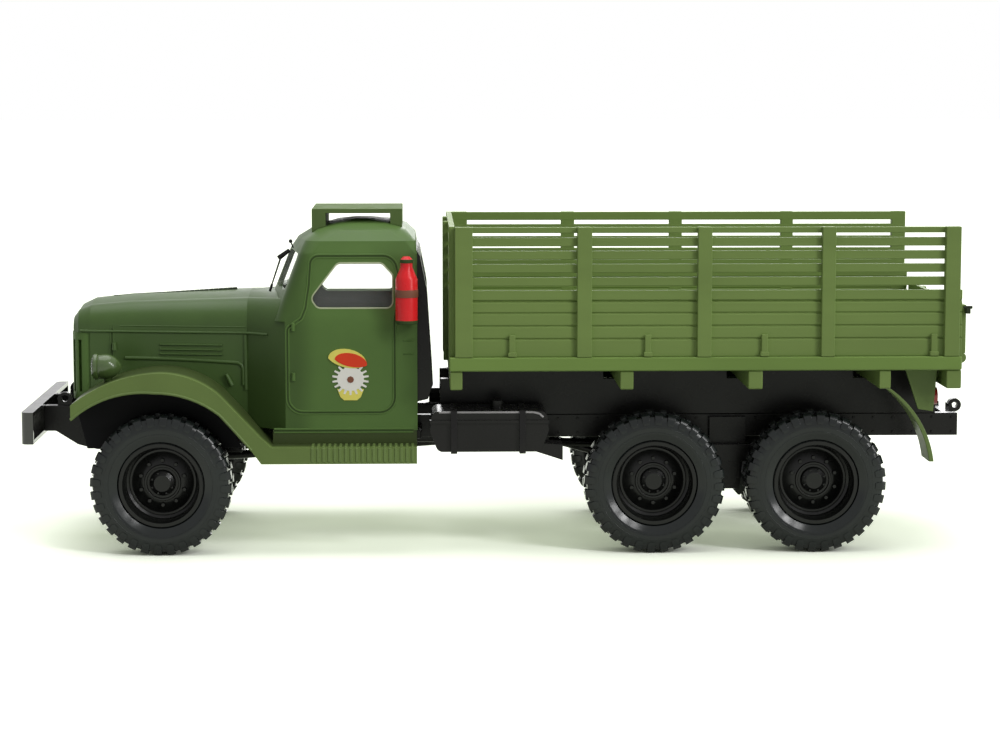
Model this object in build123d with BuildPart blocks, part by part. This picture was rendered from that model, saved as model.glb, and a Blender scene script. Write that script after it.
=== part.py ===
from build123d import *
import math
import os

# A 1:43 scale model of a long-bonnet, three-axle army cargo truck, in millimetres.
# X runs from the bumper (-) to the tow hook (+), -Y is the truck's left side and Z is
# up from the ground. The origin is under the middle of the overall box.

# ---- axles and wheels ----
front_axle_x = -59.3
wheelbase = 84.8
bogie_spacing = 27.9
tyre_radius = 12.15
tyre_width = 7.2
tyre_outer_y = 24.0
tyre_bead_radius = 6.8
lug_depth = 0.9
lug_length = 2.0
lug_count = 24
rim_lip_radius = 7.2
rim_wall = 0.55
rim_disc_depth = 4.3
hub_radius = 2.3
pin_radius = 0.8
pin_running_clearance = 0.05
pin_fit_clearance = 0.02
axle_tube_radius = 1.7
drive_housing_radius = 4.0
wheel_side_clearance = 0.6

# ---- ladder frame ----
rail_top_z = 22.4
rail_height = 4.0
rail_outer_y = 9.4
rail_width = 1.9
rail_wall = 0.6
rear_overhang = 27.2
bumper_thickness = 2.1
bumper_height = 5.5
bumper_half_width = 23.0
front_overhang = 23.7
tow_hook_reach = 2.4

# ---- bonnet and cab ----
bonnet_front_x = -72.6
bonnet_rear_x = -44.9
bonnet_rear_half = 14.2
bonnet_shoulder_z = 38.0
bonnet_top_z = 44.1
door_front_x = -38.0
cab_rear_x = -15.3
cab_half_width = 20.3
cab_bottom_z = 21.2
cab_wall = 1.0
belt_z = 40.0
screen_base_x = -40.9
screen_base_z = 43.7
screen_lean = 0.395
screen_sweep = 0.137
eave_z = 51.5
eave_half_width = 17.9
glass_thickness = 0.4
glass_clearance = 0.05

# ---- wings and running boards ----
wing_outer_y = 25.0
wing_skin = 1.1
board_top_z = 18.8
board_lip_height = 2.8
board_rear_x = -15.4

# ---- cargo bed ----
cab_to_bed = 6.4
bed_rear_overhang = 24.2
bed_half_width = 26.9
bed_floor_top_z = 34.0
bed_floor_thickness = 2.0
bed_sill_height = 2.4
bed_side_top_z = 56.5
bed_board = 0.9
bed_post_depth = 0.8
cross_beam_height = 3.2
slat_gap = 1.0
slat_pitch = 2.3
slat_gap_count = 5
tailgate_top_z = 43.0
tailgate_hinge_radius = 0.45
tailgate_knuckle_radius = 0.95

# ---- worked out from the sizes above ----
axle_z = tyre_radius
middle_axle_x = front_axle_x + wheelbase
rear_axle_x = middle_axle_x + bogie_spacing
bogie_x = (middle_axle_x + rear_axle_x) / 2
tyre_inner_y = tyre_outer_y - tyre_width
rail_bottom_z = rail_top_z - rail_height
rail_inner_y = rail_outer_y - rail_width
bumper_front_x = front_axle_x - front_overhang
bumper_back_x = bumper_front_x + bumper_thickness
frame_rear_x = rear_axle_x + rear_overhang
bed_front_x = cab_rear_x + cab_to_bed
bed_rear_x = rear_axle_x + bed_rear_overhang
bed_length = bed_rear_x - bed_front_x
bed_floor_bottom_z = bed_floor_top_z - bed_floor_thickness
bed_sill_top_z = bed_floor_bottom_z + bed_sill_height
cross_beam_bottom_z = bed_floor_bottom_z - cross_beam_height

os.makedirs("parts", exist_ok=True)


def slab(x0, x1, y0, y1, z0, z1, mode=Mode.ADD):
    """Add a rectangular solid between six planes to the part that is open."""
    with Locations(((x0 + x1) / 2, (y0 + y1) / 2, (z0 + z1) / 2)):
        Box(x1 - x0, y1 - y0, z1 - z0, mode=mode)


def side_plane(y):
    """The upright plane at y, drawn in X and Z, from which extrusion runs towards -Y."""
    return Plane(origin=(0, y, 0), x_dir=(1, 0, 0), z_dir=(0, -1, 0))


def cross_plane(x):
    """The upright plane at x, drawn in Y and Z, from which extrusion runs towards +X."""
    return Plane(origin=(x, 0, 0), x_dir=(0, 1, 0), z_dir=(1, 0, 0))


def write(built, name):
    built.part.label = name
    export_step(built.part, f"parts/{name}.step")


def write_pair(built, name):
    """Write a left-hand piece and its mirror image on the right as two pieces."""
    write(built, f"{name}_left")
    with BuildPart() as twin:
        mirror(built.part, about=Plane.XZ)
    write(twin, f"{name}_right")


def write_both(built, name):
    """Write a left-hand solid and its mirror image on the right as one piece."""
    with BuildPart() as both:
        add(built.part)
        mirror(built.part, about=Plane.XZ)
    write(both, name)


# ================================================================ ladder frame
# Two channel rails joined by cross members; the front horns carry the bumper, and the
# outriggers carry the cab's rear corners.
horn_outline = (  # X behind the bumper's back face, Z
    (0.0, rail_bottom_z + 1.4),
    (2.0, rail_bottom_z + 1.4),
    (5.8, rail_bottom_z - 1.0),
    (9.2, rail_bottom_z - 1.9),
    (12.5, rail_bottom_z - 1.9),
    (14.5, rail_bottom_z),
    (14.5, rail_top_z),
    (bonnet_front_x - bumper_back_x - 0.1, rail_top_z),
    (4.7, rail_top_z + 1.9),
    (0.0, rail_top_z + 1.9),
)
cross_member_length = 1.6
cross_member_top_z = rail_top_z - rail_wall
cross_members_x = (
    bumper_back_x + 7.2,
    cab_rear_x - 4.7,
    bed_front_x - 1.2,
    bed_front_x + 22.9,
    bogie_x,
    rear_axle_x + 12.6,
    frame_rear_x - cross_member_length / 2,
)
outrigger_z = (cab_bottom_z - 1.8, cab_bottom_z - 0.3)
outrigger_x = (cab_rear_x - 2.4, cab_rear_x + 0.6)
outrigger_outer_y = cab_half_width - 1.7

with BuildPart() as chassis_frame:
    rail_front_x = bumper_back_x + horn_outline[5][0]
    with BuildSketch(cross_plane(rail_front_x)):
        for side in (-1, 1):
            with Locations((side * (rail_outer_y - rail_width / 2), rail_top_z - rail_height / 2)):
                Rectangle(rail_width, rail_height)
            with Locations(
                (side * (rail_inner_y + (rail_width - rail_wall) / 2), rail_top_z - rail_height / 2),
            ):
                Rectangle(rail_width - rail_wall, rail_height - 2 * rail_wall, mode=Mode.SUBTRACT)
    extrude(amount=frame_rear_x - rail_front_x)
    for inner_y in (-rail_inner_y, rail_outer_y):
        with BuildSketch(side_plane(inner_y)):
            with BuildLine():
                Polyline(*[(bumper_back_x + x, z) for x, z in horn_outline], close=True)
            make_face()
        extrude(amount=rail_width)
    for member_x in cross_members_x:
        slab(
            member_x - cross_member_length / 2,
            member_x + cross_member_length / 2,
            -rail_outer_y + rail_wall / 2,
            rail_outer_y - rail_wall / 2,
            rail_bottom_z + rail_wall,
            cross_member_top_z,
        )
    for side in (-1, 1):
        near, far = sorted((side * (rail_outer_y - rail_wall / 2), side * outrigger_outer_y))
        slab(*outrigger_x, near, far, *outrigger_z)
write(chassis_frame, "chassis_frame")

# ================================================================ front end of the frame
bumper_bottom_z = rail_bottom_z + 0.9
bumper_web = 0.7
with BuildPart() as front_bumper:
    slab(
        bumper_front_x,
        bumper_back_x,
        -bumper_half_width,
        bumper_half_width,
        bumper_bottom_z,
        bumper_bottom_z + bumper_height,
    )
    fillet(front_bumper.edges().filter_by(Axis.Z).group_by(Axis.X)[0], 1.2)
    for side in (-1, 1):
        near, far = sorted((side * (rail_outer_y + 0.3), side * (bumper_half_width - bumper_web)))
        slab(
            bumper_front_x + bumper_web,
            bumper_back_x,
            near,
            far,
            bumper_bottom_z + bumper_web,
            bumper_bottom_z + bumper_height - bumper_web,
            mode=Mode.SUBTRACT,
        )
write(front_bumper, "front_bumper")

hook_ring_radius = 1.3
hook_ring_bore = 0.6
hook_x = bumper_back_x + 3.6
hook_foot_z = horn_outline[-1][1]
with BuildPart() as tow_hooks_front:
    for side in (-1, 1):
        middle_y = side * (rail_outer_y - rail_width / 2)
        with BuildSketch(side_plane(middle_y + 0.5)):
            with Locations((hook_x, hook_foot_z + hook_ring_radius - 0.3)):
                Circle(hook_ring_radius)
            with Locations((hook_x, hook_foot_z + 0.3)):
                Rectangle(2.6, 0.6)
            with Locations((hook_x, hook_foot_z - 1.0)):
                Rectangle(8.0, 2.0, mode=Mode.SUBTRACT)
            with Locations((hook_x, hook_foot_z + hook_ring_radius - 0.1)):
                Circle(hook_ring_bore, mode=Mode.SUBTRACT)
        extrude(amount=1.0)
write(tow_hooks_front, "tow_hooks_front")

winch_x = bumper_back_x + 3.9
winch_z = rail_top_z - 1.4
with BuildPart() as winch:
    with BuildSketch(side_plane(rail_inner_y)):
        with Locations((winch_x, winch_z)):
            Circle(1.5)
    extrude(amount=2 * rail_inner_y)
    for flange_y in (-rail_inner_y + 1.2, 3.6):
        with BuildSketch(side_plane(flange_y)):
            with Locations((winch_x, winch_z)):
                Circle(2.2)
        extrude(amount=0.5)
    slab(winch_x - 2.0, winch_x + 2.0, 4.4, rail_inner_y, winch_z - 2.0, winch_z + 2.0)
write(winch, "winch")

# ================================================================ axles and springs
nose_reach = 5.6
nose_radius = 1.5
low_shaft_z = axle_z + 1.2
high_shaft_z = axle_z + 3.1
drive_offset_y = 2.5
spring_pad_top_z = axle_z + axle_tube_radius + 0.5
spring_y = rail_outer_y - rail_width / 2
bogie_spring_y = rail_outer_y + 2.3
spring_width = 1.9
axle_tube_end_y = tyre_inner_y - wheel_side_clearance
axles = (  # name, X, Y of the drive housing, direction of its nose, nose Z, Y of the spring pads
    ("front", front_axle_x, drive_offset_y, 1, low_shaft_z, spring_y),
    ("middle", middle_axle_x, drive_offset_y, -1, low_shaft_z, bogie_spring_y),
    ("rear", rear_axle_x, -drive_offset_y, -1, high_shaft_z, bogie_spring_y),
)
for name, axle_x, drive_y, nose_way, nose_z, pad_y in axles:
    with BuildPart() as axle_housing:
        with BuildSketch(side_plane(axle_tube_end_y)):
            with Locations((axle_x, axle_z)):
                Circle(axle_tube_radius)
        extrude(amount=2 * axle_tube_end_y)
        with Locations((axle_x, drive_y, axle_z)):
            Sphere(drive_housing_radius)
        with BuildSketch(cross_plane(axle_x)):
            with Locations((drive_y, nose_z)):
                Circle(nose_radius)
        extrude(amount=nose_way * nose_reach)
        for side in (-1, 1):
            slab(
                axle_x - 1.6,
                axle_x + 1.6,
                side * pad_y - spring_width / 2,
                side * pad_y + spring_width / 2,
                axle_z,
                spring_pad_top_z,
            )
        with BuildSketch(side_plane(axle_tube_end_y)):
            with Locations((axle_x, axle_z)):
                Circle(pin_radius + pin_running_clearance)
        extrude(amount=2 * axle_tube_end_y, mode=Mode.SUBTRACT)
    write(axle_housing, f"{name}_axle_housing")

front_spring_reach = 11.0
front_spring_eye_z = horn_outline[3][1]
front_leaves = (  # half length, thickness, in order from the pad up
    (4.0, 0.5),
    (7.0, 0.5),
    (9.2, 0.5),
)
with BuildPart() as front_springs:
    for side in (-1, 1):
        leaf_z = spring_pad_top_z
        for half_length, thickness in front_leaves:
            slab(
                front_axle_x - half_length,
                front_axle_x + half_length,
                side * spring_y - spring_width / 2,
                side * spring_y + spring_width / 2,
                leaf_z,
                leaf_z + thickness,
            )
            leaf_z += thickness
        with BuildSketch(side_plane(side * spring_y + spring_width / 2)):
            with BuildLine():
                Polyline(
                    (front_axle_x - 2.0, leaf_z),
                    (front_axle_x - front_spring_reach, front_spring_eye_z - 0.6),
                    (front_axle_x - front_spring_reach, front_spring_eye_z),
                    (front_axle_x - 2.0, leaf_z + 0.6),
                    (front_axle_x + 2.0, leaf_z + 0.6),
                    (front_axle_x + front_spring_reach, front_spring_eye_z),
                    (front_axle_x + front_spring_reach + 2.0, front_spring_eye_z),
                    (front_axle_x + front_spring_reach + 2.0, front_spring_eye_z - 0.6),
                    (front_axle_x + front_spring_reach, front_spring_eye_z - 0.6),
                    (front_axle_x + 2.0, leaf_z),
                    close=True,
                )
            make_face()
        extrude(amount=spring_width)
        slab(
            front_axle_x + front_spring_reach,
            front_axle_x + front_spring_reach + 1.6,
            side * spring_y - spring_width / 2,
            side * spring_y + spring_width / 2,
            front_spring_eye_z,
            rail_bottom_z,
        )
write(front_springs, "front_springs")

bogie_leaves = (  # half length, thickness, in order from the axle pads up
    (bogie_spacing / 2 + 1.6, 0.6),
    (bogie_spacing / 2 - 1.2, 0.6),
    (bogie_spacing / 2 - 4.0, 0.6),
    (bogie_spacing / 2 - 7.0, 0.6),
    (bogie_spacing / 2 - 10.0, 0.6),
)
with BuildPart() as bogie_springs:
    for side in (-1, 1):
        leaf_z = spring_pad_top_z
        for half_length, thickness in bogie_leaves:
            slab(
                bogie_x - half_length,
                bogie_x + half_length,
                side * bogie_spring_y - spring_width / 2,
                side * bogie_spring_y + spring_width / 2,
                leaf_z,
                leaf_z + thickness,
            )
            leaf_z += thickness
write(bogie_springs, "bogie_springs")

trunnion_z = axle_z - 0.75
trunnion_tube_radius = 1.4
bracket_half_length = 3.2
bracket_y = (rail_outer_y, bogie_spring_y - spring_width / 2)
with BuildPart() as bogie_trunnion:
    hub_outer_y = bogie_spring_y + spring_width / 2
    with BuildSketch(side_plane(hub_outer_y)):
        with Locations((bogie_x, trunnion_z)):
            Circle(trunnion_tube_radius)
    extrude(amount=2 * hub_outer_y)
    for side in (-1, 1):
        with BuildSketch(side_plane(bracket_y[1] if side > 0 else -bracket_y[0])):
            with BuildLine():
                Polyline(
                    (bogie_x - bracket_half_length, rail_top_z - 0.4),
                    (bogie_x - bracket_half_length, rail_bottom_z),
                    (bogie_x - 2.2, trunnion_z - 2.2),
                    (bogie_x + 2.2, trunnion_z - 2.2),
                    (bogie_x + bracket_half_length, rail_bottom_z),
                    (bogie_x + bracket_half_length, rail_top_z - 0.4),
                    close=True,
                )
            make_face()
        extrude(amount=bracket_y[1] - bracket_y[0])
        slab(
            bogie_x - 2.0,
            bogie_x + 2.0,
            side * bogie_spring_y - spring_width / 2,
            side * bogie_spring_y + spring_width / 2,
            trunnion_z,
            spring_pad_top_z,
        )
write(bogie_trunnion, "bogie_trunnion")

# ================================================================ wheels
rim_face_y = tyre_outer_y - 0.7
rim_disc_y = rim_face_y - rim_disc_depth
rim_back_y = tyre_inner_y + 0.7
hub_face_y = rim_disc_y + 2.1
pin_end_y = rim_disc_y + 1.0
rim_profile = (  # Y, radius
    (rim_face_y, rim_lip_radius),
    (rim_face_y, rim_lip_radius - 0.6),
    (rim_face_y - 0.9, tyre_bead_radius - rim_wall),
    (rim_disc_y + 0.6, tyre_bead_radius - rim_wall),
    (rim_disc_y, tyre_bead_radius - rim_wall - 0.8),
    (rim_disc_y + 0.9, hub_radius + 0.7),
    (rim_disc_y + 0.9, hub_radius),
    (hub_face_y - 0.5, hub_radius - 0.2),
    (hub_face_y, hub_radius - 0.9),
    (hub_face_y, 0.0),
    (pin_end_y, 0.0),
    (pin_end_y, pin_radius + pin_fit_clearance),
    (rim_disc_y - 1.4, pin_radius + pin_fit_clearance),
    (rim_disc_y - 1.4, hub_radius),
    (rim_disc_y - 0.8, tyre_bead_radius - rim_wall),
    (rim_back_y, tyre_bead_radius - rim_wall),
    (rim_back_y, rim_lip_radius),
    (rim_back_y + 0.5, rim_lip_radius),
    (rim_back_y + 0.5, tyre_bead_radius),
    (rim_face_y - 0.5, tyre_bead_radius),
    (rim_face_y - 0.5, rim_lip_radius),
)
groove_radius = tyre_radius - lug_depth
shoulder_inset = 0.3
shoulder_radius = groove_radius - 0.25
sidewall_radius = groove_radius - 1.4
bead_radius = rim_lip_radius + 0.5
bead_clearance = 0.03
bead_inset = 1.25
carcass_facets = 36
lug_pitch_angle = 360 / lug_count
lug_angle = math.degrees(lug_length / tyre_radius)
lug_corner_radius = tyre_radius / math.cos(math.radians(lug_angle / 2))


def tread_outline():
    """The tread's corners round the origin, with the middle of a lug straight down."""
    corners = []
    for index in range(lug_count):
        middle_angle = index * lug_pitch_angle - 90
        half_root_angle = lug_angle / 2 + 1.5
        for radius, angle in (
            (groove_radius, middle_angle - half_root_angle),
            (lug_corner_radius, middle_angle - lug_angle / 2),
            (lug_corner_radius, middle_angle + lug_angle / 2),
            (groove_radius, middle_angle + half_root_angle),
        ):
            corners.append((radius * math.cos(math.radians(angle)), radius * math.sin(math.radians(angle))))
    return corners


def carcass_frustum(z, start_radius, end_radius, height):
    """A flat-sided frustum on the Z axis that narrows upwards from z."""
    with BuildSketch(Plane.XY.offset(z)) as base:
        RegularPolygon(start_radius, carcass_facets)
    narrowing = (start_radius - end_radius) * math.cos(math.pi / carcass_facets)
    extrude(base.sketch, amount=height, taper=math.degrees(math.atan2(narrowing, height)))


# The tyre is made lying on its side, with its middle plane at Z = 0.
tread_half_width = tyre_width / 2 - shoulder_inset
with BuildPart() as shoulder:
    carcass_frustum(tread_half_width, shoulder_radius, sidewall_radius, shoulder_inset)
with BuildPart() as bead_recess:
    carcass_frustum(-tyre_width / 2, sidewall_radius, bead_radius, bead_inset)
with BuildPart() as flat_tyre:
    with BuildSketch():
        with BuildLine():
            Polyline(*tread_outline(), close=True)
        make_face()
    extrude(amount=tread_half_width, both=True)
    add(shoulder.part)
    mirror(shoulder.part, about=Plane.XY)
    add(bead_recess.part, mode=Mode.SUBTRACT)
    mirror(bead_recess.part, about=Plane.XY, mode=Mode.SUBTRACT)
    with BuildSketch():
        RegularPolygon(tyre_bead_radius + bead_clearance, carcass_facets, major_radius=False)
    extrude(amount=tyre_width, both=True, mode=Mode.SUBTRACT)

for name, axle_x, *_ in axles:
    wheel_axis = Axis((axle_x, 0, axle_z), (0, 1, 0))
    half_section = Plane(origin=(axle_x, 0, axle_z), x_dir=(0, -1, 0), z_dir=(-1, 0, 0))
    with BuildPart() as rim:
        with BuildSketch(half_section):
            with BuildLine():
                Polyline(*rim_profile, close=True)
            make_face()
        revolve(axis=wheel_axis)
    write_both(rim, f"{name}_rims")
    with BuildPart() as tyre:
        with Locations(Location((axle_x, -(tyre_inner_y + tyre_outer_y) / 2, axle_z), (90, 0, 0))):
            add(flat_tyre.part)
    write_pair(tyre, f"{name}_tyre")
    with BuildPart() as axle_pin:
        with BuildSketch(side_plane(pin_end_y)):
            with Locations((axle_x, axle_z)):
                Circle(pin_radius)
        extrude(amount=2 * pin_end_y)
    write(axle_pin, f"{name}_axle_pin")

# ================================================================ drive line under the frame
gearbox_rear_x = cab_rear_x - 8.7
transfer_case_x = (bed_front_x + 5.0, bed_front_x + 17.0)
transfer_case_bottom_z = rail_bottom_z - 3.2
case_output_z = transfer_case_bottom_z + 1.4
shaft_radius = 0.75
shaft_joint_radius = 1.15
shaft_joint_length = 1.2
main_shaft_z = rail_bottom_z - 1.4
with BuildPart() as powertrain:
    slab(
        bonnet_front_x + 2.0,
        bonnet_rear_x,
        1.1 - rail_inner_y,
        rail_inner_y - 1.1,
        rail_bottom_z - 1.4,
        rail_top_z,
    )
    slab(
        bonnet_rear_x,
        gearbox_rear_x,
        3.7 - rail_inner_y,
        rail_inner_y - 3.7,
        rail_bottom_z - 1.8,
        rail_top_z - 0.8,
    )
write(powertrain, "powertrain")

with BuildPart() as transfer_case:
    slab(
        *transfer_case_x,
        2.5 - rail_inner_y,
        rail_inner_y - 2.5,
        transfer_case_bottom_z,
        rail_bottom_z + 2.6,
    )
    fillet(transfer_case.edges().filter_by(Axis.Y), 1.4)
write(transfer_case, "transfer_case")

shaft_runs = (  # front X, rear X, Y, front Z, rear Z
    (gearbox_rear_x, transfer_case_x[0], 0.0, main_shaft_z, main_shaft_z),
    (front_axle_x + nose_reach, transfer_case_x[0], drive_offset_y, low_shaft_z, case_output_z),
    (transfer_case_x[1], middle_axle_x - nose_reach, drive_offset_y, case_output_z, low_shaft_z),
    (transfer_case_x[1], rear_axle_x - nose_reach, -drive_offset_y, case_output_z, high_shaft_z),
)
with BuildPart() as propeller_shafts:
    for start_x, end_x, shaft_y, start_z, end_z in shaft_runs:
        direction = Vector(end_x - start_x, 0, end_z - start_z).normalized()
        end_inset = shaft_joint_radius * abs(direction.Z)
        start = Vector(start_x, shaft_y, start_z) + direction * end_inset
        end = Vector(end_x, shaft_y, end_z) - direction * end_inset
        with BuildSketch(Plane(origin=start, z_dir=direction)):
            Circle(shaft_radius)
        extrude(amount=(end - start).length)
        for joint_start in (start, end - direction * shaft_joint_length):
            with BuildSketch(Plane(origin=joint_start, z_dir=direction)):
                Circle(shaft_joint_radius)
            extrude(amount=shaft_joint_length)
write(propeller_shafts, "propeller_shafts")

# ================================================================ fuel tank and tool box
tank_x = (bed_front_x - 4.3, bed_front_x + 16.2)
tank_outer_y = bed_half_width - 4.7
tank_inner_y = rail_outer_y + 2.6
tank_z = (rail_bottom_z - 0.8, rail_top_z + 2.2)
filler_x = bed_front_x + 7.4
tank_middle_z = tank_z[0] + 3.6
tank_bracket_y = (-tank_outer_y + 2.0, -tank_inner_y - 3.0)
with BuildPart() as fuel_tank:
    with BuildSketch(side_plane(-tank_inner_y)):
        with BuildLine():
            Polyline(
                (tank_x[0] + 0.4, tank_z[1]),
                (tank_x[0], tank_middle_z),
                (tank_x[0] + 1.4, tank_z[0]),
                (tank_x[1] - 1.4, tank_z[0]),
                (tank_x[1], tank_middle_z),
                (tank_x[1] - 0.4, tank_z[1]),
                close=True,
            )
        make_face()
    extrude(amount=tank_outer_y - tank_inner_y)
    fillet(fuel_tank.edges().filter_by(Axis.Y), 1.2)
    with BuildSketch(side_plane(tank_bracket_y[1])):
        with BuildLine():
            Polyline(
                (tank_x[1] - 3.6, tank_z[0] + 0.2),
                (tank_x[1] + 2.5, tank_z[0] - 1.8),
                (tank_x[1] + 2.5, tank_z[0] + 0.9),
                (tank_x[1] - 1.6, tank_z[0] + 1.2),
                close=True,
            )
        make_face()
    extrude(amount=tank_bracket_y[1] - tank_bracket_y[0])
    slab(*tank_x, -tank_outer_y - 0.35, -tank_outer_y + 1.0, tank_z[1] - 2.0, tank_z[1] - 1.5)
    for strap_x in (tank_x[0] + 4.0, tank_x[1] - 5.0):
        slab(strap_x, strap_x + 1.6, -tank_inner_y, -rail_outer_y, tank_z[0] + 1.4, tank_z[1] - 2.6)
    with BuildSketch(Plane.XY.offset(tank_z[1])):
        with Locations((filler_x, -tank_inner_y - 5.0)):
            Circle(1.1)
    extrude(amount=1.3)
write(fuel_tank, "fuel_tank")

with BuildPart() as tool_box:
    slab(tank_x[0], tank_x[1] - 4.0, tank_inner_y, tank_outer_y, *tank_z)
    for strap_x in (tank_x[0] + 3.0, tank_x[1] - 9.0):
        slab(strap_x, strap_x + 1.6, rail_outer_y, tank_inner_y, tank_z[0] + 1.4, tank_z[1] - 2.6)
write(tool_box, "tool_box")


# ================================================================ bonnet, cowl and cabin
def bonnet_section(x, half_width, bottom_z, shoulder_z, top_z):
    """Upright sides, a round shoulder on each side and a crowned top."""
    crown_y = 0.62 * half_width
    crown_z = top_z - 0.13 * (top_z - shoulder_z)
    bend_y = 0.92 * half_width
    bend_z = shoulder_z + 0.62 * (top_z - shoulder_z)
    with BuildSketch(cross_plane(x)) as section:
        with BuildLine():
            Polyline(
                (-half_width, shoulder_z),
                (-half_width, bottom_z),
                (half_width, bottom_z),
                (half_width, shoulder_z),
            )
            ThreePointArc((half_width, shoulder_z), (bend_y, bend_z), (crown_y, crown_z))
            ThreePointArc((crown_y, crown_z), (0, top_z), (-crown_y, crown_z))
            ThreePointArc((-crown_y, crown_z), (-bend_y, bend_z), (-half_width, shoulder_z))
        make_face()
    return section.sketch


bonnet_bottom_z = rail_top_z
nose_bottom_z = bonnet_shoulder_z - 0.8
nose_half = bonnet_rear_half - 4.3
bonnet_sections = (  # X, half width, bottom Z, shoulder Z, top Z
    (bonnet_front_x, nose_half, bonnet_bottom_z, bonnet_shoulder_z - 0.2, bonnet_top_z - 1.6),
    (bonnet_front_x + 6.6, nose_half + 1.1, bonnet_bottom_z, bonnet_shoulder_z - 0.1, bonnet_top_z - 0.9),
    (bonnet_rear_x, bonnet_rear_half, bonnet_bottom_z, bonnet_shoulder_z, bonnet_top_z),
)
nose_sections = (
    (bonnet_front_x - 3.1, nose_half - 1.9, nose_bottom_z, bonnet_shoulder_z - 0.2, bonnet_top_z - 4.2),
    (bonnet_front_x - 2.1, nose_half - 0.7, nose_bottom_z, bonnet_shoulder_z - 0.2, bonnet_top_z - 2.6),
    (bonnet_front_x, nose_half, nose_bottom_z, bonnet_shoulder_z - 0.2, bonnet_top_z - 1.6),
)
with BuildPart() as bonnet:
    loft([bonnet_section(*row) for row in bonnet_sections], ruled=True)
    loft([bonnet_section(*row) for row in nose_sections], ruled=True)
write(bonnet, "bonnet")

grille_front_x = bonnet_front_x - 3.4
grille_half_width = nose_half - 0.3
grille_bottom_z = rail_top_z + 3.0
grille_corner_radius = 3.0
grille_border = 1.3
slot_depth = 0.8
slot_width = 0.7
front_slot_count = 9
side_slot_count = 2
slot_pitch = 2 * (grille_half_width - grille_corner_radius) / (front_slot_count - 1)
slot_z = (grille_bottom_z + grille_border, nose_bottom_z - grille_border)
with BuildPart() as grille:
    with BuildSketch(Plane.XY.offset(grille_bottom_z)):
        with Locations(((grille_front_x + bonnet_front_x) / 2, 0)):
            Rectangle(bonnet_front_x - grille_front_x, 2 * grille_half_width)
    extrude(amount=nose_bottom_z - grille_bottom_z)
    fillet(grille.edges().filter_by(Axis.Z).group_by(Axis.X)[0], grille_corner_radius)
    for index in range(front_slot_count):
        slot_y = (index - (front_slot_count - 1) / 2) * slot_pitch
        slab(
            grille_front_x,
            grille_front_x + slot_depth,
            slot_y - slot_width / 2,
            slot_y + slot_width / 2,
            *slot_z,
            mode=Mode.SUBTRACT,
        )
    for side in (-1, 1):
        for index in range(side_slot_count):
            corner = Location(
                (
                    grille_front_x + grille_corner_radius,
                    side * (grille_half_width - grille_corner_radius),
                    sum(slot_z) / 2,
                ),
                (0, 0, -side * (index + 1) * 90 / (side_slot_count + 1)),
            )
            with Locations(corner * Location((-grille_corner_radius, 0, 0))):
                Box(2 * slot_depth, slot_width, slot_z[1] - slot_z[0], mode=Mode.SUBTRACT)
write(grille, "grille")


def screen_x(y, z):
    """X of the windscreen's outer face: it leans back and sweeps back to each side."""
    return screen_base_x + screen_lean * (z - screen_base_z) + screen_sweep * abs(y)


def half_width_at(z):
    """Half width of the cabin between the belt line and the eaves."""
    share = (z - belt_z) / (eave_z - belt_z)
    return cab_half_width + share * (eave_half_width - cab_half_width)


def cabin_section(z, apex_x, corner_x, rear_x, half_width, front_radius, rear_radius, inset=0.0):
    """A level section of the cabin: straight sides, round corners and a shallow bow in front."""
    side_y = half_width - inset
    with BuildSketch(Plane.XY.offset(z)) as section:
        with BuildLine():
            Polyline(
                (apex_x + inset, 0),
                (corner_x + inset, side_y),
                (rear_x, side_y),
                (rear_x, -side_y),
                (corner_x + inset, -side_y),
                close=True,
            )
        make_face()
        corners = section.vertices().filter_by(lambda corner: abs(corner.Y) > side_y / 2)
        fillet(corners.group_by(Axis.X)[0], front_radius)
        fillet(section.vertices().group_by(Axis.X)[-1], rear_radius)
    return section.sketch


def screen_section(z, half_width, rear_x=cab_rear_x, inset=0.0):
    """A level section at a height where the windscreen is the front."""
    return cabin_section(
        z,
        screen_x(0, z),
        screen_x(half_width, z),
        rear_x,
        half_width,
        cabin_corner_radius,
        cabin_rear_radius,
        inset,
    )


roof_table = (  # Z over the eaves, then X ahead of the cab's rear edge: apex, corner, rear;
    # then how much narrower than the eaves on each side, front and rear corner radius
    (2.1, 21.1, 19.1, 0.3, 1.0, 3.2, 2.0),
    (3.8, 18.3, 16.9, 1.9, 3.7, 3.4, 2.8),
    (4.8, 14.7, 13.9, 4.7, 7.5, 3.4, 3.2),
    (5.3, 11.5, 11.3, 8.1, 12.9, 1.5, 1.5),
)
ceiling_table = (  # the same, one wall thickness further in
    (1.5, 20.3, 18.3, 1.3, 2.0, 3.0, 2.0),
    (2.9, 17.5, 15.9, 3.1, 4.7, 3.2, 2.6),
)


def table_section(rise, apex, corner, rear, narrower, front_radius, rear_radius):
    """One row of the roof's or ceiling's table as a level section."""
    return cabin_section(
        eave_z + rise,
        cab_rear_x - apex,
        cab_rear_x - corner,
        cab_rear_x - rear,
        eave_half_width - narrower,
        front_radius,
        rear_radius,
    )


cabin_corner_radius = 2.4
cabin_rear_radius = 0.4
cowl_shoulder_z = bonnet_shoulder_z + 0.6
sill_inner_y = bonnet_rear_half - 1.2

with BuildPart() as cowl_solid:
    loft(
        [
            bonnet_section(
                bonnet_rear_x,
                bonnet_rear_half,
                cab_bottom_z,
                bonnet_shoulder_z,
                bonnet_top_z,
            ),
            bonnet_section(
                door_front_x,
                cab_half_width,
                cab_bottom_z,
                cowl_shoulder_z,
                bonnet_top_z - 0.2,
            ),
        ],
        ruled=True,
    )

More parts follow.
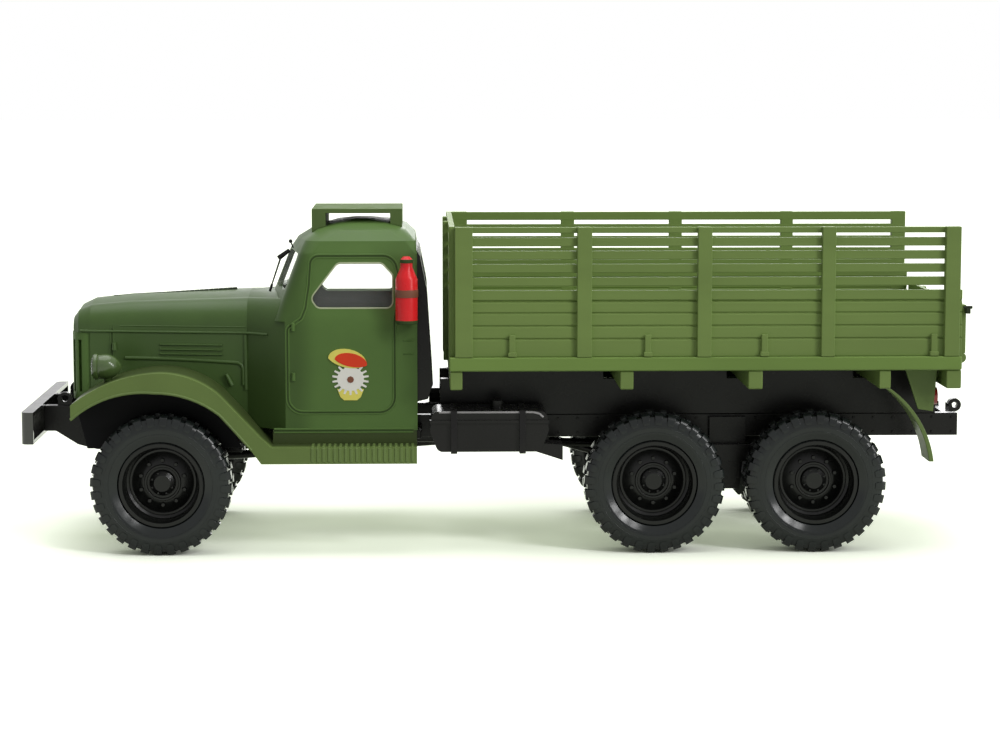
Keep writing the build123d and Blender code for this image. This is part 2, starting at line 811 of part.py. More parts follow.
window_outline = (  # X behind the door's front edge, Z over the belt line
    (4.4, 3.9),
    (9.0, 9.9),
    (16.6, 9.9),
    (18.5, 7.9),
    (18.5, 2.3),
    (5.6, 2.3),
)
window_corner_radius = 1.1
side_slope = Vector(0, -half_width_at(eave_z) + half_width_at(belt_z), eave_z - belt_z)
window_plane = Plane(
    origin=(0, -half_width_at(belt_z), belt_z),
    x_dir=(1, 0, 0),
    z_dir=Vector(1, 0, 0).cross(side_slope),
)
slope_stretch = side_slope.length / (eave_z - belt_z)
screen_plane = Plane(
    origin=(screen_base_x, 0, screen_base_z),
    x_dir=(screen_sweep, 1, 0),
    z_dir=(1, -screen_sweep, -screen_lean),
)
cavity_rear_x = cab_rear_x + 0.8
screen_u = (1.0, eave_half_width - 2.3)
screen_v = (1.3, eave_z - screen_base_z + 0.4)
rear_window_half = 7.0
rear_window_z = (belt_z + 4.2, eave_z - 1.5)


def window_sketch(shrink=0.0):
    """A side window on the left door's sloping wall, shrunk by shrink all round."""
    with BuildSketch(window_plane) as window:
        with BuildLine():
            Polyline(*[(door_front_x + x, z * slope_stretch) for x, z in window_outline], close=True)
        make_face()
        fillet(window.vertices(), window_corner_radius)
        offset(amount=-shrink, mode=Mode.REPLACE)
    return window.sketch


def screen_sketch(shrink=0.0):
    """The right-hand pane of the windscreen, shrunk by shrink all round."""
    with BuildSketch(screen_plane) as pane:
        with Locations(((screen_u[0] + screen_u[1]) / 2, (screen_v[0] + screen_v[1]) / 2)):
            Rectangle(screen_u[1] - screen_u[0] - 2 * shrink, screen_v[1] - screen_v[0] - 2 * shrink)
        fillet(pane.vertices(), 1.2 - shrink)
    return pane.sketch


with BuildPart() as side_window_cut:
    extrude(window_sketch(), amount=2.5, both=True)
with BuildPart() as screen_cut:
    extrude(screen_sketch(), amount=2.5, both=True)

with BuildPart() as cab_shell:
    add(cowl_solid.part)
    slab(door_front_x, cab_rear_x, -cab_half_width, cab_half_width, cab_bottom_z, belt_z)
    loft(
        [
            screen_section(belt_z, cab_half_width),
            screen_section(eave_z, eave_half_width),
        ],
        ruled=True,
    )
    loft(
        [screen_section(eave_z, eave_half_width)] + [table_section(*row) for row in roof_table],
        ruled=True,
    )
    slab(
        door_front_x + cab_wall,
        cab_rear_x,
        cab_wall - cab_half_width,
        cab_half_width - cab_wall,
        cab_bottom_z,
        belt_z,
        mode=Mode.SUBTRACT,
    )
    loft(
        [
            screen_section(belt_z, cab_half_width, cavity_rear_x, cab_wall),
            screen_section(eave_z, eave_half_width, cavity_rear_x, cab_wall),
        ],
        ruled=True,
        mode=Mode.SUBTRACT,
    )
    loft(
        [screen_section(eave_z, eave_half_width, cavity_rear_x, cab_wall)]
        + [table_section(*row) for row in ceiling_table],
        ruled=True,
        mode=Mode.SUBTRACT,
    )
    slab(
        bonnet_rear_x,
        door_front_x + cab_wall,
        -sill_inner_y,
        sill_inner_y,
        cab_bottom_z,
        rail_top_z,
        mode=Mode.SUBTRACT,
    )
    add(side_window_cut.part, mode=Mode.SUBTRACT)
    mirror(side_window_cut.part, about=Plane.XZ, mode=Mode.SUBTRACT)
    add(screen_cut.part, mode=Mode.SUBTRACT)
    mirror(screen_cut.part, about=Plane.XZ, mode=Mode.SUBTRACT)
write(cab_shell, "cab_shell")

# ================================================================ cab rear wall, glass and inside
cab_floor_thickness = 0.9
rear_wall_outline = (  # X behind the cab's rear edge, Z
    (-0.9, eave_z + 0.5),
    (-0.1, eave_z + 0.5),
    (0.5, eave_z - 0.5),
    (1.7, belt_z + 4.9),
    (2.7, cab_bottom_z + 7.8),
    (1.8, cab_bottom_z + 5.2),
    (0.0, cab_bottom_z + 4.8),
    (0.0, rail_top_z + cab_floor_thickness),
    (-0.9, rail_top_z + cab_floor_thickness),
)
rear_wall_clearance = 0.05
with BuildPart() as cab_rear_wall:
    with BuildSketch(side_plane(0)):
        with BuildLine():
            Polyline(*[(cab_rear_x + x, z) for x, z in rear_wall_outline], close=True)
        make_face()
    extrude(amount=cab_half_width, both=True)
    with BuildSketch(cross_plane(cab_rear_x - 2.0)):
        wall_y = cab_half_width - cab_wall - rear_wall_clearance
        eave_y = eave_half_width - cab_wall - rear_wall_clearance
        with BuildLine():
            Polyline(
                (-wall_y, cab_bottom_z),
                (wall_y, cab_bottom_z),
                (wall_y, belt_z),
                (eave_y, eave_z),
                (eave_y - 1.4, eave_z + 1.6),
                (1.4 - eave_y, eave_z + 1.6),
                (-eave_y, eave_z),
                (-wall_y, belt_z),
                close=True,
            )
        make_face()
    extrude(amount=6.0, mode=Mode.INTERSECT)
    slab(
        cab_rear_x - 2.0,
        cab_rear_x + 4.0,
        -rear_window_half,
        rear_window_half,
        *rear_window_z,
        mode=Mode.SUBTRACT,
    )
write(cab_rear_wall, "cab_rear_wall")

with BuildPart() as rear_glass:
    slab(
        cab_rear_x - 0.4,
        cab_rear_x - 0.4 + glass_thickness,
        glass_clearance - rear_window_half,
        rear_window_half - glass_clearance,
        rear_window_z[0] + glass_clearance,
        rear_window_z[1] - glass_clearance,
    )
write(rear_glass, "rear_glass")

with BuildPart() as door_glass:
    extrude(window_sketch(glass_clearance), amount=-glass_thickness)
write_both(door_glass, "door_glass")

with BuildPart() as screen_pane:
    extrude(screen_sketch(glass_clearance), amount=glass_thickness)
with BuildPart() as windscreen:
    add(screen_pane.part)
    mirror(screen_pane.part, about=Plane.XZ)
write(windscreen, "windscreen")

inner_front_x = door_front_x + cab_wall
inner_half_width = cab_half_width - cab_wall
with BuildPart() as cab_floor:
    slab(
        inner_front_x + rear_wall_clearance,
        cab_rear_x,
        rear_wall_clearance - inner_half_width,
        inner_half_width - rear_wall_clearance,
        rail_top_z,
        rail_top_z + cab_floor_thickness,
    )
write(cab_floor, "cab_floor")

seat_half_width = cab_half_width - 4.8
seat_base_z = rail_top_z + cab_floor_thickness
seat_rear_x = cab_rear_x - 1.1
seat_length = 11.6
seat_box_height = 6.5
cushion_height = 2.4
backrest_height = 10.0
backrest_rear_x = seat_rear_x - 0.2
cushion_bottom_z = seat_base_z + seat_box_height
cushion_top_z = cushion_bottom_z + cushion_height
with BuildPart() as seat:
    slab(
        seat_rear_x - seat_length + 0.6,
        seat_rear_x,
        -seat_half_width,
        seat_half_width,
        seat_base_z,
        cushion_bottom_z,
    )
    slab(
        seat_rear_x - seat_length,
        seat_rear_x,
        -seat_half_width,
        seat_half_width,
        cushion_bottom_z,
        cushion_top_z,
    )
    with BuildSketch(side_plane(seat_half_width)):
        with BuildLine():
            Polyline(
                (backrest_rear_x - 3.8, cushion_top_z),
                (backrest_rear_x, cushion_top_z),
                (backrest_rear_x, cushion_top_z + backrest_height),
                (backrest_rear_x - 1.8, cushion_top_z + backrest_height),
                close=True,
            )
        make_face()
    extrude(amount=2 * seat_half_width)
    fillet(seat.edges().filter_by(Axis.Y).group_by(Axis.Z)[-1], 0.8)
write(seat, "seat")

dashboard_gap = 0.6
with BuildPart() as dashboard:
    with BuildSketch(side_plane(inner_half_width - dashboard_gap)):
        with BuildLine():
            Polyline(
                (inner_front_x, belt_z - 6.5),
                (inner_front_x + 1.8, belt_z - 5.0),
                (inner_front_x + 2.6, belt_z),
                (inner_front_x, belt_z + 1.2),
                close=True,
            )
        make_face()
    extrude(amount=2 * (inner_half_width - dashboard_gap))
write(dashboard, "dashboard")

wheel_centre = Vector(inner_front_x + 6.4, -9.0, belt_z - 1.6)
column_lean = Vector(-0.72, 0, -0.69)
steering_ring_radius = 4.2
with BuildPart() as steering_wheel:
    with BuildSketch(Plane(origin=wheel_centre, x_dir=(0, 1, 0), z_dir=column_lean)):
        Circle(steering_ring_radius)
        Circle(steering_ring_radius - 0.6, mode=Mode.SUBTRACT)
        Rectangle(2 * steering_ring_radius - 0.6, 0.7)
        Circle(0.9)
    extrude(amount=0.6)
    with BuildSketch(Plane(origin=wheel_centre, z_dir=column_lean)):
        Circle(0.5)
    extrude(amount=4.9)
write(steering_wheel, "steering_wheel")

# ================================================================ wings and running boards
wing_inner_y = rail_outer_y + 0.1
board_bottom_z = board_top_z - board_lip_height


def about_axle(*points):
    """Points given as X behind and Z over the front axle, as X and Z."""
    return tuple((front_axle_x + x, axle_z + z) for x, z in points)


wing_crown = about_axle((-15.0, 14.08), (-10.0, 17.15), (0.2, 19.55))
wing_shoulder = about_axle((0.2, 19.55), (5.7, 18.45), (10.4, 15.55))
arch_front = about_axle((-15.0, 11.41), (-10.3, 14.45), (-0.9, 15.95))
arch_rear = about_axle((-0.9, 15.95), (4.9, 15.05), (10.4, 12.05))
wing_foot, arch_foot = about_axle((17.3, 8.25), (15.7, 6.05))
board_front_x = front_axle_x + 19.1
with BuildPart() as wing:
    with BuildSketch(side_plane(-wing_inner_y)):
        with BuildLine():
            ThreePointArc(*wing_crown)
            ThreePointArc(*wing_shoulder)
            Polyline(wing_shoulder[-1], wing_foot, (board_front_x, board_top_z))
            Polyline(
                (board_front_x, board_top_z),
                (board_front_x, board_bottom_z),
                (arch_foot[0] + 1.6, board_bottom_z),
                arch_foot,
                arch_rear[-1],
            )
            ThreePointArc(*reversed(arch_rear))
            ThreePointArc(*reversed(arch_front))
            Line(arch_front[0], wing_crown[0])
        make_face()
    extrude(amount=wing_outer_y - wing_inner_y)
    slab(
        board_front_x,
        board_rear_x,
        -wing_outer_y,
        -cab_half_width + 2.0,
        board_bottom_z,
        board_top_z,
    )
    slab(
        board_front_x - 3.0,
        board_rear_x,
        -wing_outer_y + wing_skin,
        -cab_half_width + 4.0,
        board_bottom_z - 1.0,
        board_top_z - wing_skin,
        mode=Mode.SUBTRACT,
    )
    slab(board_front_x, board_rear_x, -cab_half_width, wing_skin - cab_half_width, board_top_z, cab_bottom_z)
    add(bonnet.part, mode=Mode.SUBTRACT)
    add(cowl_solid.part, mode=Mode.SUBTRACT)
    slab(bumper_front_x, bonnet_front_x, -grille_half_width, 0, 0, belt_z, mode=Mode.SUBTRACT)
write_pair(wing, "wing")

liner_y = (-tyre_inner_y + 1.8, -tyre_inner_y + 2.4)
liner_bottom_z = rail_bottom_z - 1.0
liner_clearance = 0.05
liner_ribs_x = (bonnet_front_x + 0.6, bonnet_rear_x - 5.8)
liner_rib_length = 1.0
with BuildPart() as wheel_arch_liner:
    with BuildSketch(side_plane(liner_y[1])):
        with BuildLine():
            ThreePointArc(*arch_front)
            ThreePointArc(*arch_rear)
            Polyline(
                arch_rear[-1],
                (arch_rear[-1][0] + 3.0, liner_bottom_z),
                (arch_front[0][0] + 1.5, liner_bottom_z),
                arch_front[0],
            )
        make_face()
        offset(amount=-liner_clearance, mode=Mode.REPLACE)
    extrude(amount=liner_y[1] - liner_y[0])
    for rib_x in liner_ribs_x:
        slab(
            rib_x,
            rib_x + liner_rib_length,
            liner_y[1],
            -rail_outer_y,
            rail_bottom_z + 0.5,
            rail_top_z - 0.1,
        )
write_both(wheel_arch_liner, "wheel_arch_liners")

# ================================================================ lamps, rack and extinguisher
headlamp_y = wing_outer_y - 7.0
headlamp_z = bonnet_shoulder_z - 5.9
headlamp_radius = 2.1
headlamp_x = (front_axle_x - 11.5, front_axle_x - 6.9)
lens_bulge = 0.5
headlamp_section = Plane(origin=(0, -headlamp_y, headlamp_z), x_dir=(1, 0, 0), z_dir=(0, -1, 0))
headlamp_axis = Axis((0, -headlamp_y, headlamp_z), (1, 0, 0))
with BuildPart() as headlamp:
    with BuildSketch(headlamp_section):
        with BuildLine():
            Polyline(
                (headlamp_x[1], 0),
                (headlamp_x[0], 0),
                (headlamp_x[0], headlamp_radius),
                (headlamp_x[0] + 1.2, headlamp_radius),
            )
            ThreePointArc(
                (headlamp_x[0] + 1.2, headlamp_radius),
                (headlamp_x[1] - 1.0, 0.72 * headlamp_radius),
                (headlamp_x[1], 0),
            )
        make_face()
    revolve(axis=headlamp_axis)
    with BuildSketch(Plane.XY.offset(headlamp_z)):
        with Locations((headlamp_x[0] + 2.2, -headlamp_y)):
            Circle(0.7)
    extrude(amount=-3.2)
    add(wing.part, mode=Mode.SUBTRACT)
write_both(headlamp, "headlamps")

lens_radius = headlamp_radius - 0.3
with BuildPart() as headlamp_lens:
    with BuildSketch(cross_plane(headlamp_x[0])):
        with Locations((-headlamp_y, headlamp_z)):
            Circle(lens_radius)
    extrude(amount=-lens_bulge)
    fillet(headlamp_lens.edges().group_by(Axis.X)[0], 0.8 * lens_bulge)
write_both(headlamp_lens, "headlamp_lenses")

rack_x = (cab_rear_x - 18.4, cab_rear_x - 2.6)
rack_leg_x = (cab_rear_x - 16.0, cab_rear_x - 4.7)
rack_half_width = 9.6
rack_z = (eave_z + 2.7, eave_z + 6.5, eave_z + 7.3)
with BuildPart() as roof_rack:
    slab(*rack_x, -rack_half_width, rack_half_width, rack_z[1], rack_z[2])
    slab(rack_x[0], rack_leg_x[0], -rack_half_width, rack_half_width, rack_z[0], rack_z[1])
    slab(rack_leg_x[1], rack_x[1], -rack_half_width, rack_half_width, rack_z[0], rack_z[1])
    loft(
        [screen_section(eave_z, eave_half_width)] + [table_section(*row) for row in roof_table],
        ruled=True,
        mode=Mode.SUBTRACT,
    )
write(roof_rack, "roof_rack")

extinguisher_x = cab_rear_x - 1.8
extinguisher_radius = 1.9
bottle_height = 7.5
bottle_neck_radius = 1.05
bottle_neck_z = belt_z + 9.4
extinguisher_z = (belt_z - 0.1, belt_z + 11.3)
extinguisher_y = -cab_half_width - extinguisher_radius
bottle_section = Plane(origin=(extinguisher_x, extinguisher_y, 0), x_dir=(1, 0, 0), z_dir=(0, -1, 0))
with BuildPart() as fire_extinguisher:
    with BuildSketch(bottle_section):
        with BuildLine():
            Polyline(
                (0, extinguisher_z[1]),
                (0, extinguisher_z[0]),
                (extinguisher_radius, extinguisher_z[0]),
                (extinguisher_radius, extinguisher_z[0] + bottle_height),
                (bottle_neck_radius, bottle_neck_z),
                (bottle_neck_radius, extinguisher_z[1] - 0.5),
                (bottle_neck_radius - 0.5, extinguisher_z[1]),
                close=True,
            )
        make_face()
    revolve(axis=Axis((extinguisher_x, extinguisher_y, 0), (0, 0, 1)))
write(fire_extinguisher, "fire_extinguisher")

# ================================================================ cargo bed
bed_front_wall_x = (bed_front_x - 1.0, bed_front_x)
bed_inner_y = bed_half_width - bed_post_depth - bed_board
side_board_y = (-bed_half_width + bed_post_depth, -bed_inner_y)
posts = (  # X of the middle, width
    (bed_front_x + 1.5, 3.0),
    (bed_front_x + 0.254 * bed_length, 2.5),
    (bed_front_x + 0.490 * bed_length, 2.4),
    (bed_front_x + 0.734 * bed_length, 2.3),
    (bed_rear_x - 1.8, 2.6),
)
beams = (  # X of the middle, width
    (bed_front_x + 0.2, 2.1),
    (bed_front_x + 0.338 * bed_length, 2.3),
    (bed_front_x + 0.592 * bed_length, 2.5),
    (bed_rear_x - 13.1, 2.0),
    (bed_rear_x - 1.3, 2.6),
)
top_slat_drop = 1.3
slat_gaps_z = [bed_side_top_z - top_slat_drop - index * slat_pitch for index in range(slat_gap_count)]

with BuildPart() as bed_floor:
    slab(bed_front_x, bed_rear_x, -bed_inner_y, bed_inner_y, bed_floor_bottom_z, bed_floor_top_z)
    slab(*bed_front_wall_x, -bed_inner_y, bed_inner_y, bed_floor_bottom_z, bed_sill_top_z)
write(bed_floor, "bed_floor")

with BuildPart() as bed_sill:
    slab(
        bed_front_wall_x[0],
        bed_rear_x,
        -bed_half_width,
        -bed_inner_y,
        bed_floor_bottom_z,
        bed_sill_top_z,
    )
write_both(bed_sill, "bed_sills")

with BuildPart() as bed_cross_beams:
    for beam_x, width in beams:
        slab(
            beam_x - width / 2,
            beam_x + width / 2,
            0.4 - bed_half_width,
            bed_half_width - 0.4,
            cross_beam_bottom_z,
            bed_floor_bottom_z,
        )
write(bed_cross_beams, "bed_cross_beams")

bearer_end_gap = 1.6
with BuildPart() as bed_bearers:
    for side in (-1, 1):
        near, far = sorted((side * rail_inner_y, side * rail_outer_y))
        slab(bed_front_x - 2.4, bed_rear_x - 1.0, near, far, rail_top_z, cross_beam_bottom_z)
        for (front_x, front_width), (rear_x, rear_width) in zip(beams, beams[1:]):
            slab(
                front_x + front_width / 2,
                rear_x - rear_width / 2 - bearer_end_gap,
                near,
                far,
                cross_beam_bottom_z,
                bed_floor_bottom_z,
            )
write(bed_bearers, "bed_bearers")

with BuildPart() as bed_side:
    slab(bed_front_wall_x[0], bed_rear_x, *side_board_y, bed_sill_top_z, bed_side_top_z)
    for gap_z in slat_gaps_z:
        for (front_x, front_width), (rear_x, rear_width) in zip(posts, posts[1:]):
            slab(
                front_x + front_width / 2,
                rear_x - rear_width / 2,
                *side_board_y,
                gap_z - slat_gap / 2,
                gap_z + slat_gap / 2,
                mode=Mode.SUBTRACT,
            )
    for post_x, width in posts:
        slab(
            post_x - width / 2,
            post_x + width / 2,
            -bed_half_width,
            side_board_y[0],
            bed_sill_top_z,
            bed_side_top_z,
        )
write_pair(bed_side, "bed_side")

wall_post_y = 7.5
wall_post_width = 2.2
wall_post_edges = (wall_post_y - wall_post_width / 2, wall_post_y + wall_post_width / 2)
wall_gap_end_y = bed_inner_y - 1.5
with BuildPart() as bed_front_wall:
    slab(*bed_front_wall_x, -bed_inner_y, bed_inner_y, bed_sill_top_z, bed_side_top_z)
    for gap_z in slat_gaps_z:
        for y0, y1 in (
            (-wall_gap_end_y, -wall_post_edges[1]),
            (-wall_post_edges[0], wall_post_edges[0]),
            (wall_post_edges[1], wall_gap_end_y),
        ):
            slab(
                *bed_front_wall_x,
                y0,
                y1,
                gap_z - slat_gap / 2,
                gap_z + slat_gap / 2,
                mode=Mode.SUBTRACT,
            )
    for post_y in (-wall_post_y, wall_post_y):
        slab(
            bed_front_wall_x[0] - bed_post_depth,
            bed_front_wall_x[0],
            post_y - wall_post_width / 2,
            post_y + wall_post_width / 2,
            bed_floor_bottom_z,
            bed_side_top_z,
        )
write(bed_front_wall, "bed_front_wall")

# ================================================================ tailgate and its hinge
hinge_x = bed_rear_x + tailgate_knuckle_radius + 0.15
tailgate_x = (bed_rear_x + 0.15, bed_rear_x + 0.95)
tailgate_half_width = bed_inner_y - 0.4
hinge_z = bed_sill_top_z - tailgate_knuckle_radius
hinge_width = 1.6
hinge_lugs_y = [side * (tailgate_half_width - drop) for side in (-1, 1) for drop in (3.3, 16.8)]
hinge_knuckles_y = [side * (tailgate_half_width - drop) for side in (-1, 1) for drop in (5.2, 14.9)]
hinge_pin_end_y = tailgate_half_width - 2.5
tailgate_bottom_z = bed_sill_top_z + 0.3
hinge_bore = tailgate_hinge_radius + pin_running_clearance
with BuildPart() as tailgate_hinge:
    with BuildSketch(side_plane(hinge_pin_end_y)):
        with Locations((hinge_x, hinge_z)):
            Circle(tailgate_hinge_radius)
    extrude(amount=2 * hinge_pin_end_y)
    for lug_y in hinge_lugs_y:
        slab(
            bed_rear_x,
            hinge_x,
            lug_y - hinge_width / 2,
            lug_y + hinge_width / 2,
            hinge_z - 0.6,
            hinge_z + 0.6,
        )
write(tailgate_hinge, "tailgate_hinge")

with BuildPart() as tailgate:
    slab(*tailgate_x, -tailgate_half_width, tailgate_half_width, tailgate_bottom_z, tailgate_top_z)
    for knuckle_y in hinge_knuckles_y:
        with BuildSketch(side_plane(knuckle_y + hinge_width / 2)):
            with Locations((hinge_x, hinge_z)):
                Circle(tailgate_knuckle_radius)
            with Locations((hinge_x, (hinge_z + tailgate_bottom_z + 0.6) / 2)):
                Rectangle(0.9, tailgate_bottom_z + 0.6 - hinge_z)
            with Locations((hinge_x, hinge_z)):
                Circle(hinge_bore, mode=Mode.SUBTRACT)
        extrude(amount=hinge_width)
    for batten_y in (-15.0, 0.0, 15.0):
        slab(
            tailgate_x[1],
            tailgate_x[1] + 0.6,
            batten_y - 1.0,
            batten_y + 1.0,
            tailgate_bottom_z,
            tailgate_top_z,
        )
write(tailgate, "tailgate")

# ================================================================ tail of the truck
flap_thickness = 0.8
flap_y = (-tyre_outer_y - 0.6, -tyre_inner_y - 0.6)
flap_outer = (  # from under the cross beam down behind the tyre
    (rear_axle_x + 12.1, cross_beam_bottom_z),
    (rear_axle_x + 17.4, axle_z + 11.25),
    (rear_axle_x + 20.1, axle_z + 3.75),
)
with BuildPart() as mudflap:
    with BuildSketch(side_plane(flap_y[1])):
        with BuildLine():
            ThreePointArc(*flap_outer)
            Line(flap_outer[2], (flap_outer[2][0] - flap_thickness, flap_outer[2][1]))
            ThreePointArc(*[(x - flap_thickness, z) for x, z in reversed(flap_outer)])
            Line((flap_outer[0][0] - flap_thickness, flap_outer[0][1]), flap_outer[0])
        make_face()
    extrude(amount=flap_y[1] - flap_y[0])
write_both(mudflap, "mudflaps")

lamp_bracket_x = (rear_axle_x + 15.2, rear_axle_x + 20.2)
lamp_bracket_y = (4.3 - bed_half_width, 5.1 - bed_half_width)
lamp_bracket_bottom_z = cross_beam_bottom_z - 4.4
lamp_plate_z = (lamp_bracket_bottom_z + 0.2, cross_beam_bottom_z - 0.2)
lamp_plate_thickness = 0.7
tail_lamp_radius = 1.5
lamp_plate_inner_y = lamp_bracket_y[1] + 6.2
with BuildPart() as tail_lamp_bracket:
    with BuildSketch(side_plane(lamp_bracket_y[1])):
        with BuildLine():
            Polyline(
                (lamp_bracket_x[0], bed_floor_bottom_z),
                (lamp_bracket_x[0] + 2.4, lamp_bracket_bottom_z + 0.4),
                (lamp_bracket_x[1], lamp_bracket_bottom_z),
                (lamp_bracket_x[1] + 0.6, bed_floor_bottom_z),
                close=True,
            )
        make_face()
    extrude(amount=lamp_bracket_y[1] - lamp_bracket_y[0])
    slab(
        lamp_bracket_x[1] - lamp_plate_thickness,
        lamp_bracket_x[1],
        lamp_bracket_y[1],
        lamp_plate_inner_y,
        *lamp_plate_z,
    )
write_both(tail_lamp_bracket, "tail_lamp_brackets")

with BuildPart() as tail_lamp:
    with BuildSketch(cross_plane(lamp_bracket_x[1])):
        with Locations((lamp_plate_inner_y - 3.0, sum(lamp_plate_z) / 2)):
            Circle(tail_lamp_radius)
    extrude(amount=1.3)
write_both(tail_lamp, "tail_lamps")

tow_eye_radius = tow_hook_reach / 2
with BuildPart() as tow_hook_rear:
    slab(frame_rear_x, frame_rear_x + 0.6, -1.8, 1.8, rail_bottom_z + rail_wall, rail_top_z + 0.5)
    with BuildSketch(side_plane(0.7)):
        with Locations((frame_rear_x + tow_eye_radius, rail_top_z + 0.3)):
            Circle(tow_eye_radius)
            Circle(0.5, mode=Mode.SUBTRACT)
    extrude(amount=1.4)
write(tow_hook_rear, "tow_hook_rear")
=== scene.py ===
"""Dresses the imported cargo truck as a 1:43 scale model and sets the studio round it."""
import math

import bmesh
import bpy
from mathutils import Matrix, Vector


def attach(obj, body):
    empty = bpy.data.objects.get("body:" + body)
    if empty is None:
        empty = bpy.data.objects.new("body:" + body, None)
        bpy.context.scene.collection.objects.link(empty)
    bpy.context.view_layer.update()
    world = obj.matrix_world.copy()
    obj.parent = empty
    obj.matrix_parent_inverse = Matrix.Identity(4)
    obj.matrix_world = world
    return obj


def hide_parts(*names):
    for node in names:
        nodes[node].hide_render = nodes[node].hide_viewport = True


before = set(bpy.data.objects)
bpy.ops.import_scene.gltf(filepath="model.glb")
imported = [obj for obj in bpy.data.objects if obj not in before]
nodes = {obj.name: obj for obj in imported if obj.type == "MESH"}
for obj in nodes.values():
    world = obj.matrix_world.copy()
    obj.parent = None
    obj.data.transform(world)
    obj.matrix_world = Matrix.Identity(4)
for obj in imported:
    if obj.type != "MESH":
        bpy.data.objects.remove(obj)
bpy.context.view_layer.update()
scene = bpy.context.scene

MM = 0.001

# ---- places repeated from the solids, in millimetres ----
AXLES = (("front", -59.3), ("middle", 25.5), ("rear", 53.4))
AXLE_Z = 12.15
TYRE_MIDDLE_Y = 20.4
RIM_LIP_Y = 23.3
RIM_DISC_DEPTH = 4.3
CAB_HALF = 20.3
BELT_Z = 40.0
EAVE_Z = 51.5
EAVE_HALF = 17.9
WING_HALF = 25.0
BED_FRONT_X = -8.9
BED_REAR_X = 77.6
BED_HALF = 26.9
SILL_TOP_Z = 34.4
SIDE_TOP_Z = 56.5
SIDES = (("left", -1), ("right", 1))


# ================================================================ materials
def new_material(name):
    material = bpy.data.materials.new(name)
    material.use_nodes = True
    tree = material.node_tree
    tree.nodes.clear()
    output = tree.nodes.new("ShaderNodeOutputMaterial")
    shader = tree.nodes.new("ShaderNodeBsdfPrincipled")
    tree.links.new(shader.outputs["BSDF"], output.inputs["Surface"])
    return material, tree, shader


def noise_of(tree, scale, detail=3.0, roughness=0.55, stretch=(1.0, 1.0, 1.0)):
    """A noise texture in object space; scale is in features per millimetre."""
    coordinates = tree.nodes.new("ShaderNodeTexCoord")
    mapping = tree.nodes.new("ShaderNodeMapping")
    mapping.inputs["Scale"].default_value = [scale * s / MM for s in stretch]
    noise = tree.nodes.new("ShaderNodeTexNoise")
    noise.inputs["Scale"].default_value = 1.0
    noise.inputs["Detail"].default_value = detail
    noise.inputs["Roughness"].default_value = roughness
    tree.links.new(coordinates.outputs["Object"], mapping.inputs["Vector"])
    tree.links.new(mapping.outputs["Vector"], noise.inputs["Vector"])
    return noise


def ramp_of(tree, source, stops):
    """A colour ramp over a noise value; stops are (place, colour)."""
    ramp = tree.nodes.new("ShaderNodeValToRGB")
    elements = ramp.color_ramp.elements
    while len(elements) < len(stops):
        elements.new(0.5)
    for element, (place, colour) in zip(elements, stops):
        element.position = place
        element.color = (*colour, 1.0)
    tree.links.new(source, ramp.inputs["Fac"])
    return ramp


def shade(colour, factor):
    return tuple(min(1.0, c * factor) for c in colour)


def paint_in_shade(tree, source, axis, full, darkest, depth):
    """The colour of source darkened as painted shade: plain at one distance from the truck's middle,
    deepest at another.
    """
    where = tree.nodes.new("ShaderNodeTexCoord")
    parts = tree.nodes.new("ShaderNodeSeparateXYZ")
    aside = tree.nodes.new("ShaderNodeMath")
    aside.operation = "ABSOLUTE"
    blend = tree.nodes.new("ShaderNodeMapRange")
    blend.interpolation_type = "SMOOTHSTEP"
    blend.inputs["From Min"].default_value = darkest * MM
    blend.inputs["From Max"].default_value = full * MM
    blend.inputs["To Min"].default_value = depth
    scaled = tree.nodes.new("ShaderNodeVectorMath")
    scaled.operation = "SCALE"
    tree.links.new(where.outputs["Object"], parts.inputs["Vector"])
    tree.links.new(parts.outputs[axis], aside.inputs[0])
    tree.links.new(aside.outputs["Value"], blend.inputs["Value"])
    tree.links.new(source, scaled.inputs[0])
    tree.links.new(blend.outputs["Result"], scaled.inputs["Scale"])
    return scaled.outputs["Vector"]


def uneven_gloss(tree, shader, source, low, high):
    """Roughness that wanders between two values."""
    gloss = tree.nodes.new("ShaderNodeMapRange")
    gloss.inputs["To Min"].default_value = low
    gloss.inputs["To Max"].default_value = high
    tree.links.new(source, gloss.inputs["Value"])
    tree.links.new(gloss.outputs["Result"], shader.inputs["Roughness"])


def skin(tree, shader, scale, detail, strength, depth):
    """A fine bump, its depth in millimetres."""
    grain = noise_of(tree, scale, detail)
    bump = tree.nodes.new("ShaderNodeBump")
    bump.inputs["Strength"].default_value = strength
    bump.inputs["Distance"].default_value = depth * MM
    tree.links.new(grain.outputs["Fac"], bump.inputs["Height"])
    tree.links.new(bump.outputs["Normal"], shader.inputs["Normal"])


PATCH_STOPS = (0.30, 0.50, 0.72)  # where the noise gives the dark, the plain and the light tone
GLOSS_SCALE = 4.0  # how much finer the gloss is than the colour patches
GLOSS_BELOW, GLOSS_ABOVE = 0.07, 0.09  # how far the roughness wanders
SKIN_STRENGTH = 0.35


